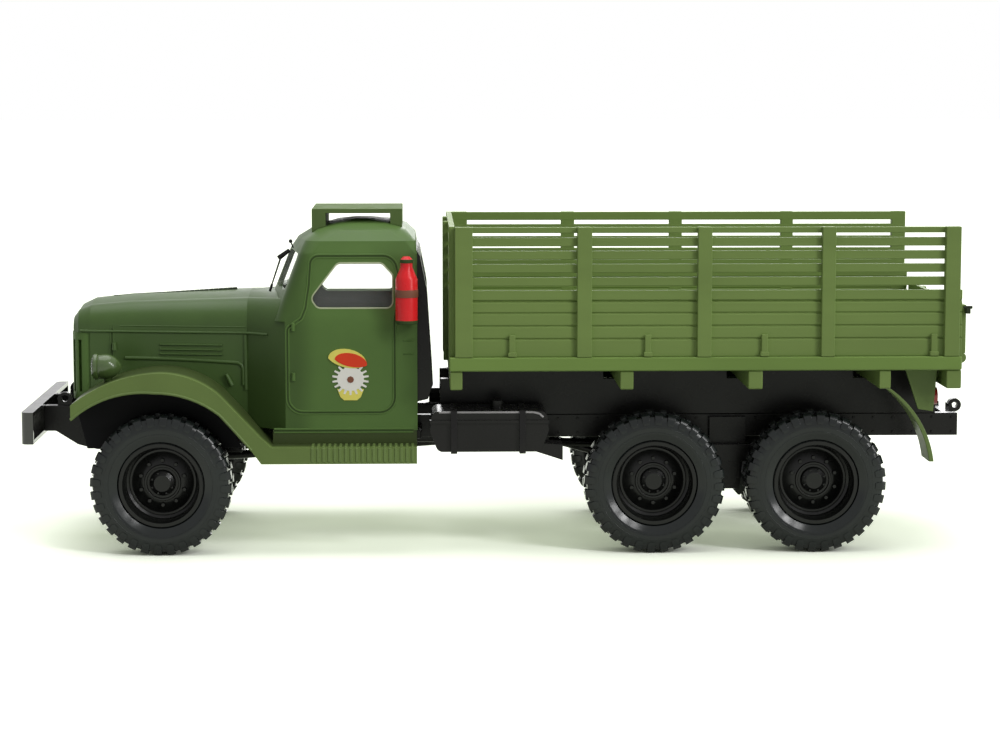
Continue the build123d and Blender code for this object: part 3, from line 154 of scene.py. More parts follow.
def moulded(
    name,
    colour,
    roughness=0.45,
    spread=0.10,
    patch_scale=0.06,
    grain=2.2,
    grain_depth=0.010,
    specular=0.22,
    stretch=(1.0, 1.0, 1.0),
    metallic=0.0,
    painted_shade=None,
):
    """Painted or moulded plastic: soft colour patches, uneven gloss and a fine skin.

    The optional last argument is (axis, distance from the middle where the colour is plain, where it is
    deepest, how deep): painted shade, the colour darkened where shade falls on the part.
    """
    material, tree, shader = new_material(name)
    patches = noise_of(tree, patch_scale, detail=4.0, stretch=stretch)
    tones = (shade(colour, 1.0 - spread), colour, shade(colour, 1.0 + spread))
    ramp = ramp_of(tree, patches.outputs["Fac"], tuple(zip(PATCH_STOPS, tones)))
    paint = ramp.outputs["Color"]
    # Painted shade: the colour darkened along an axis, where shade falls.
    if painted_shade:
        paint = paint_in_shade(tree, paint, *painted_shade)
    tree.links.new(paint, shader.inputs["Base Color"])
    gloss = noise_of(tree, patch_scale * GLOSS_SCALE, detail=2.0)
    low, high = roughness - GLOSS_BELOW, roughness + GLOSS_ABOVE
    uneven_gloss(tree, shader, gloss.outputs["Fac"], low, high)
    skin(tree, shader, grain, detail=2.0, strength=SKIN_STRENGTH, depth=grain_depth)
    shader.inputs["Specular IOR Level"].default_value = specular
    shader.inputs["Metallic"].default_value = metallic
    return material


def clear_plastic(name, tint, roughness, alpha=0.0):
    """Clear moulded plastic, solid with transmission or, given an alpha, a thin clear sheet."""
    duller, gloss_above = 0.98, 0.04
    material, tree, shader = new_material(name)
    waves = noise_of(tree, scale=0.05, detail=1.0)
    ramp = ramp_of(tree, waves.outputs["Fac"], ((0.35, shade(tint, duller)), (0.65, tint)))
    tree.links.new(ramp.outputs["Color"], shader.inputs["Base Color"])
    uneven_gloss(tree, shader, waves.outputs["Fac"], roughness, roughness + gloss_above)
    skin(tree, shader, scale=0.8, detail=1.0, strength=0.1, depth=0.004)
    if alpha:
        shader.inputs["Alpha"].default_value = alpha
    else:
        shader.inputs["Transmission Weight"].default_value = 1.0
    return material


CAB_PAINT = (0.094, 0.172, 0.044)
CAB_GREEN = moulded("cab_green", CAB_PAINT, 0.42, specular=0.17)
# The cab shell's green with painted shade, darker from the door fronts forward over the pillars and
# cowl.
SHELL_GREEN_SHADED = moulded("shell_green_shaded", CAB_PAINT, 0.42, specular=0.17, painted_shade=("X", 32.0, 36.4, 0.62))
WING_GREEN = moulded("wing_green", (0.150, 0.220, 0.066), 0.38)
# The wings' green with painted shade, darker over each wing's inner top and the running board's apron.
FENDER_GREEN_SHADED = moulded(
    "fender_green_shaded", (0.152, 0.222, 0.064), 0.38, specular=0.16, painted_shade=("Y", 24.7, 21.6, 0.30)
)
RACK_GREEN = moulded("rack_green", (0.120, 0.180, 0.062), 0.62, specular=0.05)
# The cab's green made darker for the bonnet: painted shade.
BONNET_GREEN_SHADED = moulded("bonnet_green_shaded", (0.064, 0.116, 0.031), 0.36, specular=0.22)
LINER_BLACK = moulded("liner_black", (0.0100, 0.0100, 0.0110), 0.45, spread=0.30, specular=0.06)
BED_GREEN = moulded(
    "bed_green", (0.185, 0.270, 0.075), 0.50, spread=0.13, patch_scale=0.05, stretch=(0.35, 1.0, 1.6)
)
SILL_GREEN = moulded("sill_green", (0.180, 0.285, 0.066), 0.42, stretch=(0.3, 1.0, 1.0))
SEAM_GREEN = moulded("seam_green", (0.046, 0.078, 0.025), 0.60, specular=0.1)
DARK_GREEN = moulded("dark_green", (0.024, 0.032, 0.018), 0.50, specular=0.15)
# Pale green for a painted highlight along the edges of the window glazing.
GLAZING_EDGE_GLINT = moulded("glazing_edge_glint", (0.40, 0.46, 0.26), 0.25, spread=0.06, specular=0.5)
CHASSIS_BLACK = moulded("chassis_black", (0.0125, 0.0120, 0.0115), 0.26, spread=0.30, specular=0.15)
RIM_BLACK = moulded("rim_black", (0.0060, 0.0065, 0.0058), 0.22, spread=0.25, specular=0.22)
TYRE_BLACK = moulded(
    "tyre_black",
    (0.0105, 0.0140, 0.0132),
    0.21,
    spread=0.30,
    patch_scale=0.12,
    grain=3.0,
    grain_depth=0.005,
    specular=0.27,
)
PIN_STEEL = moulded("pin_steel", (0.45, 0.45, 0.44), 0.30, metallic=1.0)
INTERIOR = moulded("interior_black", (0.040, 0.042, 0.042), 0.55, spread=0.2)
BOTTLE_RED = moulded("bottle_red", (0.84, 0.021, 0.026), 0.26, specular=0.25)
BOTTLE_BAND = moulded("bottle_band", (0.22, 0.085, 0.050), 0.40)
LAMP_RED = moulded("lamp_red", (0.36, 0.012, 0.012), 0.22, specular=0.5)
GLAZING = clear_plastic("clear_glazing", (0.95, 0.97, 0.94), 0.04, alpha=0.05)
LENS = clear_plastic("lens_clear", (0.92, 0.94, 0.92), 0.03)
BADGE_RED = moulded("badge_red", (0.80, 0.060, 0.020), 0.42, spread=0.10)
BADGE_WHITE = moulded("badge_white", (0.93, 0.92, 0.84), 0.42, spread=0.04)
BADGE_GOLD = moulded("badge_gold", (0.86, 0.78, 0.16), 0.38, spread=0.08)
# The body's green made darker for the headlamps: painted shade.
LAMP_GREEN_SHADED = moulded("lamp_green_shaded", (0.075, 0.125, 0.036), 0.18, specular=0.45)
BUMPER_BLACK = moulded("bumper_black", (0.0110, 0.0115, 0.0090), 0.16, spread=0.30, specular=0.60)
# Pale grey for a painted highlight along the fuel tank's upper edge.
TANK_HIGHLIGHT_GREY = moulded("tank_highlight_grey", (0.34, 0.33, 0.33), 0.25, spread=0.35, specular=0.5)
LAMP_SILVER = moulded("lamp_silver", (0.62, 0.63, 0.62), 0.22, metallic=1.0)


# ================================================================ mesh helpers
def place(obj, body="chassis"):
    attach(obj, body)
    return obj


def soften(obj, width, segments, angle):
    """A bevel, its width in millimetres, on the edges sharper than angle."""
    bevel = obj.modifiers.new("soften", "BEVEL")
    bevel.width = width * MM
    bevel.segments = segments
    bevel.limit_method = "ANGLE"
    bevel.angle_limit = math.radians(angle)
    bevel.harden_normals = True


def object_of(name, bm, material, bevel=0.0, segments=2, smooth_angle=35.0):
    """An object from a bmesh drawn in millimetres."""
    bmesh.ops.scale(bm, vec=(MM, MM, MM), verts=bm.verts)
    bmesh.ops.recalc_face_normals(bm, faces=bm.faces)
    mesh = bpy.data.meshes.new(name)
    bm.to_mesh(mesh)
    bm.free()
    obj = bpy.data.objects.new(name, mesh)
    scene.collection.objects.link(obj)
    mesh.materials.append(material)
    for polygon in mesh.polygons:
        polygon.use_smooth = True
    mesh.set_sharp_from_angle(angle=math.radians(smooth_angle))
    if bevel:
        soften(obj, bevel, segments, smooth_angle)
    return obj


WELD_REACH = 1e-7  # metres


def carry(name, material, bevel, segments=2, smooth_angle=32.0):
    """A CAD node shown as it is, welded, with soft edges and its finish."""
    obj = nodes[name]
    mesh = obj.data
    if mesh.has_custom_normals:
        with bpy.context.temp_override(object=obj, active_object=obj, selected_objects=[obj]):
            bpy.ops.mesh.customdata_custom_splitnormals_clear()
    for polygon in mesh.polygons:
        polygon.use_smooth = True
    mesh.materials.clear()
    mesh.materials.append(material)
    for edge in mesh.edges:
        edge.use_edge_sharp = False
    weld = obj.modifiers.new("weld", "WELD")
    weld.merge_threshold = WELD_REACH
    if bevel:
        soften(obj, bevel, segments, smooth_angle)


def add_box(bm, x0, x1, y0, y1, z0, z1):
    corners = [bm.verts.new((x, y, z)) for x in (x0, x1) for y in (y0, y1) for z in (z0, z1)]
    for quad in ((0, 1, 3, 2), (4, 6, 7, 5), (0, 4, 5, 1), (2, 3, 7, 6), (0, 2, 6, 4), (1, 5, 7, 3)):
        bm.faces.new([corners[index] for index in quad])


def add_prism(bm, outline, start, end):
    """A solid between two copies of an outline: start and end are functions of (u, v)."""
    first = [bm.verts.new(start(u, v)) for u, v in outline]
    last = [bm.verts.new(end(u, v)) for u, v in outline]
    bm.faces.new(first)
    bm.faces.new(list(reversed(last)))
    count = len(outline)
    for index in range(count):
        following = (index + 1) % count
        bm.faces.new((first[index], last[index], last[following], first[following]))


def add_lathe(bm, profile, steps, centre, axis="Y"):
    """A turned ring or solid; profile is (along, radius) round the axis through centre."""
    rings = []
    for step in range(steps):
        angle = 2 * math.pi * step / steps
        ring = []
        for along, radius in profile:
            u, v = radius * math.cos(angle), radius * math.sin(angle)
            offset = {"X": (along, u, v), "Y": (u, along, v), "Z": (u, v, along)}[axis]
            ring.append(bm.verts.new([c + o for c, o in zip(centre, offset)]))
        rings.append(ring)
    count = len(profile)
    for step in range(steps):
        ring, following = rings[step], rings[(step + 1) % steps]
        for index in range(count):
            after = (index + 1) % count
            bm.faces.new((ring[index], ring[after], following[after], following[index]))


def add_ribbon(bm, path, profile, surface, side, closed=False, groove=()):
    """A moulded line along a path of (x, z) on a side wall, on one side of the truck.

    profile rows are (across, standing out); surface(x, z) is the wall's half width. Faces
    whose number in the profile is in groove get the second material.
    """
    groove_slot = 1
    count = len(path)
    rows = []
    for index, (x, z) in enumerate(path):
        before = path[index - 1] if (index or closed) else path[index]
        after = path[(index + 1) % count] if (index < count - 1 or closed) else path[index]
        along = Vector((after[0] - before[0], after[1] - before[1])).normalized()
        across = Vector((-along.y, along.x))
        row = []
        for offset, height in profile:
            at_x, at_z = x + across.x * offset, z + across.y * offset
            row.append(bm.verts.new((at_x, side * (surface(at_x, at_z) + height), at_z)))
        rows.append(row)
    steps = count if closed else count - 1
    for index in range(steps):
        near, far = rows[index], rows[(index + 1) % count]
        for part in range(len(profile) - 1):
            face = bm.faces.new((near[part], near[part + 1], far[part + 1], far[part]))
            if part in groove:
                face.material_index = groove_slot


def rounded(corners, steps=6):
    """A closed path through (x, z, radius) corners, with each corner turned into an arc."""
    path = []
    count = len(corners)
    for index, (x, z, radius) in enumerate(corners):
        here = Vector((x, z))
        back = (Vector(corners[index - 1][:2]) - here).normalized()
        ahead = (Vector(corners[(index + 1) % count][:2]) - here).normalized()
        half = back.angle(ahead) / 2
        reach = radius / math.tan(half)
        centre = here + (back + ahead).normalized() * radius / math.sin(half)
        first, last = here + back * reach - centre, here + ahead * reach - centre
        turn = first.angle_signed(last)
        for step in range(steps + 1):
            point = first.copy()
            point.rotate(Matrix.Rotation(-turn * step / steps, 2))
            path.append(tuple(centre + point))
    return path


def spaced(start, length, steps):
    """Evenly spaced values from start over length."""
    return [start + index * length / steps for index in range(steps + 1)]


def cab_side(_x, z):
    """Half width of the cab's side wall."""
    if z <= BELT_Z:
        return CAB_HALF
    return CAB_HALF + (EAVE_HALF - CAB_HALF) * min(1.0, (z - BELT_Z) / (EAVE_Z - BELT_Z))


BONNET_HALVES = (  # X, half width
    (-76.0, 8.9),
    (-72.6, 9.9),
    (-66.0, 11.0),
    (-44.9, 14.2),
    (-38.0, 20.3),
)


def bonnet_side(x, _z):
    """Half width of the bonnet's side, and of the cowl's behind it."""
    for (x0, y0), (x1, y1) in zip(BONNET_HALVES, BONNET_HALVES[1:]):
        if x <= x1:
            return y0 + (y1 - y0) * (x - x0) / (x1 - x0)
    return BONNET_HALVES[-1][1]


# Profiles of moulded lines: distance across the line, distance off the wall.
SEAM = (
    (-0.42, -0.05),
    (-0.34, 0.10),
    (-0.15, 0.10),
    (-0.10, 0.02),
    (0.10, 0.02),
    (0.15, 0.10),
    (0.34, 0.10),
    (0.42, -0.05),
)
SEAM_GROOVE = (2, 3, 4)
BEAD = ((-0.28, -0.06), (-0.20, 0.12), (-0.08, 0.20), (0.08, 0.20), (0.20, 0.12), (0.28, -0.06))
WINDOW_RIM = ((-0.10, -0.05), (-0.06, 0.06), (0.08, 0.06), (0.16, 0.02), (0.18, -0.30))


def wide(profile, across, out):
    """A profile made wider and higher by two factors."""
    return tuple((offset * across, height * out) for offset, height in profile)


# ================================================================ CAD nodes with their finish
CARRIED = (  # node, material, width of the softened edges, then their segments and least angle
    ("cab_shell", SHELL_GREEN_SHADED, 0.70, 3, 20.0),
    ("bonnet", BONNET_GREEN_SHADED, 1.0, 4, 14.0),
    ("grille", CAB_GREEN, 0.10),
    ("wing_left", FENDER_GREEN_SHADED, 0.45),
    ("wing_right", FENDER_GREEN_SHADED, 0.45),
    ("headlamps", LAMP_GREEN_SHADED, 0.0),
    ("headlamp_lenses", LENS, 0.0),
    ("roof_rack", RACK_GREEN, 0.22),
    ("mudflaps", WING_GREEN, 0.12),
    ("tail_lamp_brackets", WING_GREEN, 0.10),
    ("tail_lamps", LAMP_RED, 0.12),
    ("bed_floor", BED_GREEN, 0.08),
    ("bed_sills", SILL_GREEN, 0.30),
    ("bed_cross_beams", BED_GREEN, 0.25),
    ("bed_front_wall", BED_GREEN, 0.12),
    ("tailgate", BED_GREEN, 0.10),
    ("tailgate_hinge", BED_GREEN, 0.05),
    ("bed_bearers", CHASSIS_BLACK, 0.12),
    ("chassis_frame", CHASSIS_BLACK, 0.15),
    ("front_bumper", BUMPER_BLACK, 0.20),
    ("tow_hooks_front", CHASSIS_BLACK, 0.08),
    ("winch", CHASSIS_BLACK, 0.12),
    ("front_axle_housing", CHASSIS_BLACK, 0.0),
    ("middle_axle_housing", CHASSIS_BLACK, 0.0),
    ("rear_axle_housing", CHASSIS_BLACK, 0.0),
    ("front_springs", CHASSIS_BLACK, 0.08),
    ("bogie_springs", CHASSIS_BLACK, 0.08),
    ("bogie_trunnion", CHASSIS_BLACK, 0.10),
    ("powertrain", CHASSIS_BLACK, 0.20),
    ("transfer_case", CHASSIS_BLACK, 0.20),
    ("propeller_shafts", CHASSIS_BLACK, 0.0),
    ("fuel_tank", CHASSIS_BLACK, 0.45, 3),
    ("tool_box", CHASSIS_BLACK, 0.20),
    ("cab_rear_wall", CHASSIS_BLACK, 0.20),
    ("wheel_arch_liners", LINER_BLACK, 0.05),
    ("tow_hook_rear", CHASSIS_BLACK, 0.08),
    ("front_rims", RIM_BLACK, 0.10),
    ("middle_rims", RIM_BLACK, 0.10),
    ("rear_rims", RIM_BLACK, 0.10),
    ("front_axle_pin", PIN_STEEL, 0.05),
    ("middle_axle_pin", PIN_STEEL, 0.05),
    ("rear_axle_pin", PIN_STEEL, 0.05),
    ("windscreen", GLAZING, 0.0),
    ("door_glass", GLAZING, 0.0),
    ("rear_glass", GLAZING, 0.0),
    ("fire_extinguisher", BOTTLE_RED, 0.08),
    ("cab_floor", INTERIOR, 0.08),
    ("seat", INTERIOR, 0.30),
    ("dashboard", INTERIOR, 0.25),
    ("steering_wheel", INTERIOR, 0.06),
)
for node_name, finish, *edge in CARRIED:
    carry(node_name, finish, *edge)


# ================================================================ tyres
TYRE_STEPS = 120
TYRE_BEVEL = 0.07
TYRE_ANGLE = 30.0
CARCASS = (  # Y from the middle, radius
    (0.0, 11.72),
    (2.4, 11.70),
    (2.95, 11.58),
    (3.28, 11.15),
    (3.46, 10.5),
    (3.56, 9.8),
    (3.55, 9.2),
    (3.47, 8.75),
    (3.41, 8.60),
    (3.37, 8.52),
    (2.82, 7.57),
    (2.76, 7.47),
    (2.45, 7.38),
    (2.36, 7.3),
    (2.36, 6.86),
)
LUGS = 32
LUG_STAGGER = 0.25  # each row's turn from the middle, in pitches
LUG_FLARE = 0.04  # how much wider a lug is at its root, on each side, in pitches
LUG = (  # Y, radius of the root and of the top, start and end round the tyre in pitches
    (0.15, 11.5, 12.10, -0.14, 0.22),
    (1.45, 11.5, 12.15, -0.28, 0.22),
    (2.85, 11.3, 12.13, -0.32, 0.29),
    (3.32, 10.9, 11.72, -0.31, 0.28),
    (3.56, 10.7, 11.15, -0.30, 0.26),
    (3.62, 10.2, 10.35, -0.22, 0.18),
)
SIDEWALL_RINGS = ((3.50, 9.75, 0.12), (3.46, 8.95, 0.10))  # Y, radius, half width
RING_ROOT, RING_HEIGHT = 0.1, 0.09


def add_lug(bm, side, middle, pitch):
    """One lug from the tread's middle over the shoulder, at an angle round the tyre."""
    rows = []
    for y, low, top, a, b in LUG:
        row = []
        for radius, share in ((low, a - LUG_FLARE), (top, a), (top, b), (low, b + LUG_FLARE)):
            angle = middle + share * pitch
            row.append(bm.verts.new((radius * math.cos(angle), side * y, radius * math.sin(angle))))
        rows.append(row)
    for near, far in zip(rows, rows[1:]):
        for i in range(4):
            j = (i + 1) % 4
            bm.faces.new((near[i], near[j], far[j], far[i]))
    bm.faces.new(rows[0])
    bm.faces.new(rows[-1])


def tyre_mesh():
    """One tyre about the origin, its axle along Y: a bulging carcass and two rows of lugs."""
    bm = bmesh.new()
    origin = (0.0, 0.0, 0.0)
    profile = [(-y, r) for y, r in reversed(CARCASS[1:])] + list(CARCASS)
    add_lathe(bm, profile, TYRE_STEPS, origin)
    pitch = 2 * math.pi / LUGS
    for side in (-1, 1):
        for index in range(LUGS):
            add_lug(bm, side, (index + side * LUG_STAGGER) * pitch - math.pi / 2, pitch)
    for y, radius, half in SIDEWALL_RINGS:
        for side in (-1, 1):
            ring = [
                (side * (y - RING_ROOT), radius - half),
                (side * (y + RING_HEIGHT), radius - half * 0.5),
                (side * (y + RING_HEIGHT), radius + half * 0.5),
                (side * (y - RING_ROOT), radius + half),
            ]
            add_lathe(bm, ring, TYRE_STEPS, origin)
    return bm


def build_tyres():
    source = object_of("tyre_source", tyre_mesh(), TYRE_BLACK, smooth_angle=TYRE_ANGLE)
    for axle, axle_x in AXLES:
        for side_name, side in SIDES:
            name = f"{axle}_tyre_{side_name}"
            obj = bpy.data.objects.new(f"{name}_dressed", source.data)
            scene.collection.objects.link(obj)
            soften(obj, TYRE_BEVEL, 2, TYRE_ANGLE)
            turn = Matrix.Rotation(math.pi if side > 0 else 0.0, 4, "Z")
            obj.matrix_world = (
                Matrix.Translation((axle_x * MM, side * TYRE_MIDDLE_Y * MM, AXLE_Z * MM)) @ turn
            )
            place(obj, f"{axle}_wheelset")
            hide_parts(name)
    bpy.data.objects.remove(source)


build_tyres()


# ================================================================ rims: nuts, hub bolts and rings
NUT_ROWS = (  # count, circle, radius, then base and top above the disc
    (10, 3.9, 0.42, 0.30, 0.75),
    (8, 1.85, 0.24, 1.55, 0.45),
)
NUT_SIDES = 6
NUT_ROOT = 0.4
NUT_TAPER = 0.86
DISC_RINGS = ((5.35, 5.75, -0.1, 0.45), (2.75, 3.1, 0.7, 0.5))  # inner, outer, base, height
RING_FLANK = 0.12
RING_STEPS = 72


def polygon_of(radius, sides):
    """Corners of a regular outline about the origin."""
    turns = [2 * math.pi * corner / sides for corner in range(sides)]
    return [(radius * math.cos(turn), radius * math.sin(turn)) for turn in turns]


def add_nuts(bm, side, axle_x, face_y):
    for count, circle, radius, base, height in NUT_ROWS:
        outline = polygon_of(radius, NUT_SIDES)
        y0, y1 = side * (face_y + base - NUT_ROOT), side * (face_y + base + height)
        for index in range(count):
            angle = 2 * math.pi * (index + 0.5) / count
            x = axle_x + circle * math.cos(angle)
            z = AXLE_Z + circle * math.sin(angle)
            add_prism(
                bm,
                outline,
                lambda u, v: (x + u, y0, z + v),
                lambda u, v: (x + u * NUT_TAPER, y1, z + v * NUT_TAPER),
            )


def rim_details():
    """Nuts on the wheel disc, the hub's studs and two rings, for the wheels of each axle."""
    face_y = RIM_LIP_Y - RIM_DISC_DEPTH
    for axle, axle_x in AXLES:
        bm = bmesh.new()
        for side in (-1, 1):
            add_nuts(bm, side, axle_x, face_y)
            for inner, outer, base, height in DISC_RINGS:
                y0, y1 = side * (face_y + base), side * (face_y + base + height)
                ring = [
                    (y0, inner - RING_FLANK),
                    (y1, inner),
                    (y1, outer),
                    (y0, outer + RING_FLANK),
                ]
                add_lathe(bm, ring, RING_STEPS, (axle_x, 0.0, AXLE_Z))
        obj = object_of(f"{axle}_rim_nuts", bm, RIM_BLACK, 0.06)
        place(obj, f"{axle}_wheelset")


rim_details()


# ================================================================ cargo bed sides
POSTS = ((-7.4, 3.0), (13.07, 2.5), (33.49, 2.4), (54.59, 2.3), (75.8, 2.6))  # X, width
SLAT_PITCH = 2.24
SLAT_GAPS_Z = [55.07 - SLAT_PITCH * index for index in range(5)]
SLAT_GAP = 0.78
SLAT_REAR_X = BED_REAR_X - 0.65
FAR_SIDE_DROP = 0.64  # the far side's slats sit lower, its rail nearly level with the near one
FAR_RAIL_DROP = 0.10
CLEAR = 0.05  # keeps the faces of posts and boards off one plane
BOARD_OUTER_Y = 26.1
BOARD_INNER_Y = 25.2
POST_INNER_Y = BOARD_INNER_Y + 0.02
JOINTS = (  # Z, half width and depth of the V between two boards
    (37.45, 0.20, 0.30),
    (39.65, 0.20, 0.30),
    (41.85, 0.20, 0.30),
    (43.88, 0.26, 0.45),
)
INNER_DEPTH = 0.6  # depth of a V on the inside, as a share of the outside
HINGES_X = (0.8, 23.9, 43.8, 72.8)
HINGE_INNER_Y = 26.0
HINGE_PARTS = ((0.55, 26.65, 34.5, 38.2), (0.75, 26.88, 34.45, 35.25))  # half width, Y, Z, Z


def add_lower_boards(bm, side):
    outer, inner = BOARD_OUTER_Y, BOARD_INNER_Y
    top = SLAT_GAPS_Z[-1] - SLAT_GAP / 2
    outline = [(inner, SILL_TOP_Z), (outer, SILL_TOP_Z)]
    for z, half, depth in JOINTS:
        outline += [(outer, z - half), (outer - depth, z), (outer, z + half)]
    outline += [(outer, top), (inner, top)]
    for z, half, depth in reversed(JOINTS):
        outline += [(inner, z + half), (inner + depth * INNER_DEPTH, z), (inner, z - half)]
    add_prism(
        bm,
        outline,
        lambda u, v: (BED_FRONT_X + CLEAR, side * u, v),
        lambda u, v: (BED_REAR_X, side * u, v),
    )


def bed_side(side):
    """Boards with V joints, open slats above them and posts outside."""
    bm = bmesh.new()
    add_lower_boards(bm, side)
    drop, rail_drop = (FAR_SIDE_DROP, FAR_RAIL_DROP) if side > 0 else (0.0, 0.0)
    rail_top = SIDE_TOP_Z - rail_drop
    half_gap = SLAT_GAP / 2
    gaps = list(reversed(SLAT_GAPS_Z))
    slats = [(low + half_gap - drop, high - half_gap - drop) for low, high in zip(gaps, gaps[1:])]
    slats.append((gaps[-1] + half_gap - drop, rail_top - CLEAR))
    y0, y1 = sorted((side * BOARD_INNER_Y, side * BOARD_OUTER_Y))
    for z0, z1 in slats:
        add_box(bm, BED_FRONT_X + CLEAR, SLAT_REAR_X, y0, y1, z0, z1)
    y0, y1 = sorted((side * POST_INNER_Y, side * BED_HALF))
    for middle_x, width in POSTS:
        add_box(bm, middle_x - width / 2, middle_x + width / 2, y0, y1, SILL_TOP_Z, rail_top)
    return bm


def build_bed_sides():
    for side_name, side in SIDES:
        name = f"bed_side_{side_name}_boards"
        boards = object_of(name, bed_side(side), BED_GREEN, 0.13, smooth_angle=28.0)
        place(boards)
        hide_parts(f"bed_side_{side_name}")


def build_drop_side_hinges():
    """A strap over the lower board and a knuckle on the sill, for each hinge."""
    bm = bmesh.new()
    for side in (-1, 1):
        for x in HINGES_X:
            for half, outer, z0, z1 in HINGE_PARTS:
                y0, y1 = sorted((side * HINGE_INNER_Y, side * outer))
                add_box(bm, x - half, x + half, y0, y1, z0, z1)
    place(object_of("drop_side_hinges", bm, BED_GREEN, 0.16))


build_bed_sides()
build_drop_side_hinges()


# ================================================================ cab: doors, window rims with painted highlight, and trim
DOOR = (  # X, Z, corner radius
    (-37.6, 38.9, 1.0),
    (-35.2, 40.5, 0.8),
    (-34.5, 42.2, 0.8),
    (-33.9, 46.2, 2.0),
    (-33.6, 51.1, 1.4),
    (-19.3, 51.1, 2.4),
    (-18.2, 46.5, 1.0),
    (-19.2, 40.0, 0.8),
    (-19.2, 24.3, 2.6),
    (-37.6, 24.3, 2.6),
)
WINDOW = (  # X, Z, corner radius
    (-33.6, 43.9, 1.1),
    (-29.0, 49.9, 1.1),
    (-21.4, 49.9, 1.1),
    (-19.5, 47.9, 1.1),
    (-19.5, 42.3, 1.1),
    (-32.4, 42.3, 1.1),
)
CAB_SEAM_Z = 21.15
CAB_SEAM_X = (-40.0, 24.0)  # start, length
HANDLE_MARKS = ((36.7, 34.4), (-17.6, -16.0))  # heights, X from and to


def build_door_lines():
    """Engraved door seams, the seam along the cab's foot, and pale window rims: a painted highlight on
    the glazing's edges.
    """
    body, glazing = bmesh.new(), bmesh.new()
    heights, (mark_x0, mark_x1) = HANDLE_MARKS
    foot = [(x, CAB_SEAM_Z) for x in spaced(*CAB_SEAM_X, 20)]
    for side in (-1, 1):
        add_ribbon(body, rounded(DOOR), SEAM, cab_side, side, closed=True, groove=SEAM_GROOVE)
        add_ribbon(body, foot, wide(SEAM, 1.1, 1.0), cab_side, side, groove=SEAM_GROOVE)
        for z in heights:
            mark = [(mark_x0, z), (mark_x1, z)]
            add_ribbon(body, mark, wide(BEAD, 0.5, 0.8), cab_side, side)
        # Pale rims round the windows: a painted highlight along the glazing's edges.
        add_ribbon(glazing, rounded(WINDOW), WINDOW_RIM, cab_side, side, closed=True)
    seams = object_of("door_seams", body, CAB_GREEN)
    seams.data.materials.append(SEAM_GREEN)
    place(seams)
    rims = place(object_of("window_glint_rims", glazing, GLAZING_EDGE_GLINT, smooth_angle=60.0))


def add_cylinder(bm, start, end, radius, sides=20, taper=1.0):
    """A round bar between two points, its far end scaled by taper."""
    start, end = Vector(start), Vector(end)
    way = (end - start).normalized()
    turn = way.to_track_quat("Z", "Y")
    rings = []
    for point, size in ((start, radius), (end, radius * taper)):
        outline = polygon_of(size, sides)
        rings.append([bm.verts.new(point + turn @ Vector((u, v, 0.0))) for u, v in outline])
    bm.faces.new(list(reversed(rings[0])))
    bm.faces.new(rings[1])
    for index in range(sides):
        after = (index + 1) % sides
        bm.faces.new((rings[0][index], rings[0][after], rings[1][after], rings[1][index]))


def add_ball(bm, centre, radius):
    made = bmesh.ops.create_uvsphere(bm, u_segments=24, v_segments=14, radius=radius)
    for vertex in made["verts"]:
        vertex.co += Vector(centre)


DOOR_HINGE_X = -36.6
DOOR_HINGES_Z = (39.1, 30.5)
DOOR_HINGE_HALF = 0.7  # half of its length
ROOF_LAMP, LAMP_STALK_FOOT = (-37.45, -8.6, 53.1), (-37.0, -8.5, 51.9)
WIPER_BARS = (  # start, end, radius, sides, taper
    ((-39.2, -7.8, 50.3), (-40.9, -8.4, 45.2), 0.17, 10, 0.8),  # arm
    ((-40.8, -8.1, 45.5), (-41.15, -8.6, 44.3), 0.24, 8, 1.0),  # blade's foot
    ((-39.6, -8.0, 50.1), (-37.7, -8.4, 51.5), 0.46, 14, 0.75),  # motor
)


def build_cab_fittings():
    hinges = bmesh.new()
    for side in (-1, 1):
        y = side * (CAB_HALF + 0.12)
        for z in DOOR_HINGES_Z:
            low, high = z - DOOR_HINGE_HALF, z + DOOR_HINGE_HALF
            add_cylinder(hinges, (DOOR_HINGE_X, y, low), (DOOR_HINGE_X, y, high), 0.34, 12)
    fitted = place(object_of("door_hinges", hinges, CAB_GREEN, 0.06))

    # The wiper on its motor over the windscreen, and a small lamp on the roof's edge.
    wipers = bmesh.new()
    for start, end, radius, sides, taper in WIPER_BARS:
        add_cylinder(wipers, start, end, radius, sides, taper)
    add_ball(wipers, ROOF_LAMP, 0.34)
    add_cylinder(wipers, ROOF_LAMP, LAMP_STALK_FOOT, 0.13, 8)
    fitted = place(object_of("wipers", wipers, CHASSIS_BLACK, 0.03))


RIB_FRONT_X, RIB_LENGTH, RIB_Z, RIB_FALL, RIB_STEPS = -66.4, 19.8, 32.85, 0.6, 16
RIB_TAIL = [(-46.0, 31.9), (-45.7, 31.2), (-45.65, 28.4)]
LOUVRES_Z = (35.3, 34.45, 33.65)
CATCHES = ((-68.3, 34.2, 35.5, 0.0), (-47.6, 28.3, 30.3, -1.0))  # X, Z from, Z to, lean
LID_HINGE_X, LID_HINGE_LENGTH, LID_HINGE_Z, LID_HINGE_SLOPE = -69.4, 22.0, 42.56, 0.064
LID_KNUCKLES, KNUCKLE_GAP = 26, 0.05


def bonnet_lines():
    """The moulded lines of one bonnet side: path, then how much wider and higher than a bead."""
    rib = []
    for index, x in enumerate(spaced(RIB_FRONT_X, RIB_LENGTH, RIB_STEPS)):
        rib.append((x, RIB_Z - RIB_FALL * (index / RIB_STEPS) ** 2))
    lines = [
        ([(x, 37.5) for x in spaced(-74.4, 74.4 - 41.2, 24)], 1.0, 1.3),  # lid's edge
        ([(x, 38.5) for x in spaced(-67.2, 22.0, 16)], 0.6, 0.6),
        (rib + RIB_TAIL, 1.3, 1.3),
    ]
    for z in LOUVRES_Z:
        lines.append(([(x, z) for x in spaced(-60.2, 11.0, 8)], 0.75, 1.5))
    lines.append(([(-45.2, z) for z in spaced(27.6, 9.6, 6)], 1.5, 1.4))  # in front of the cowl
    return lines


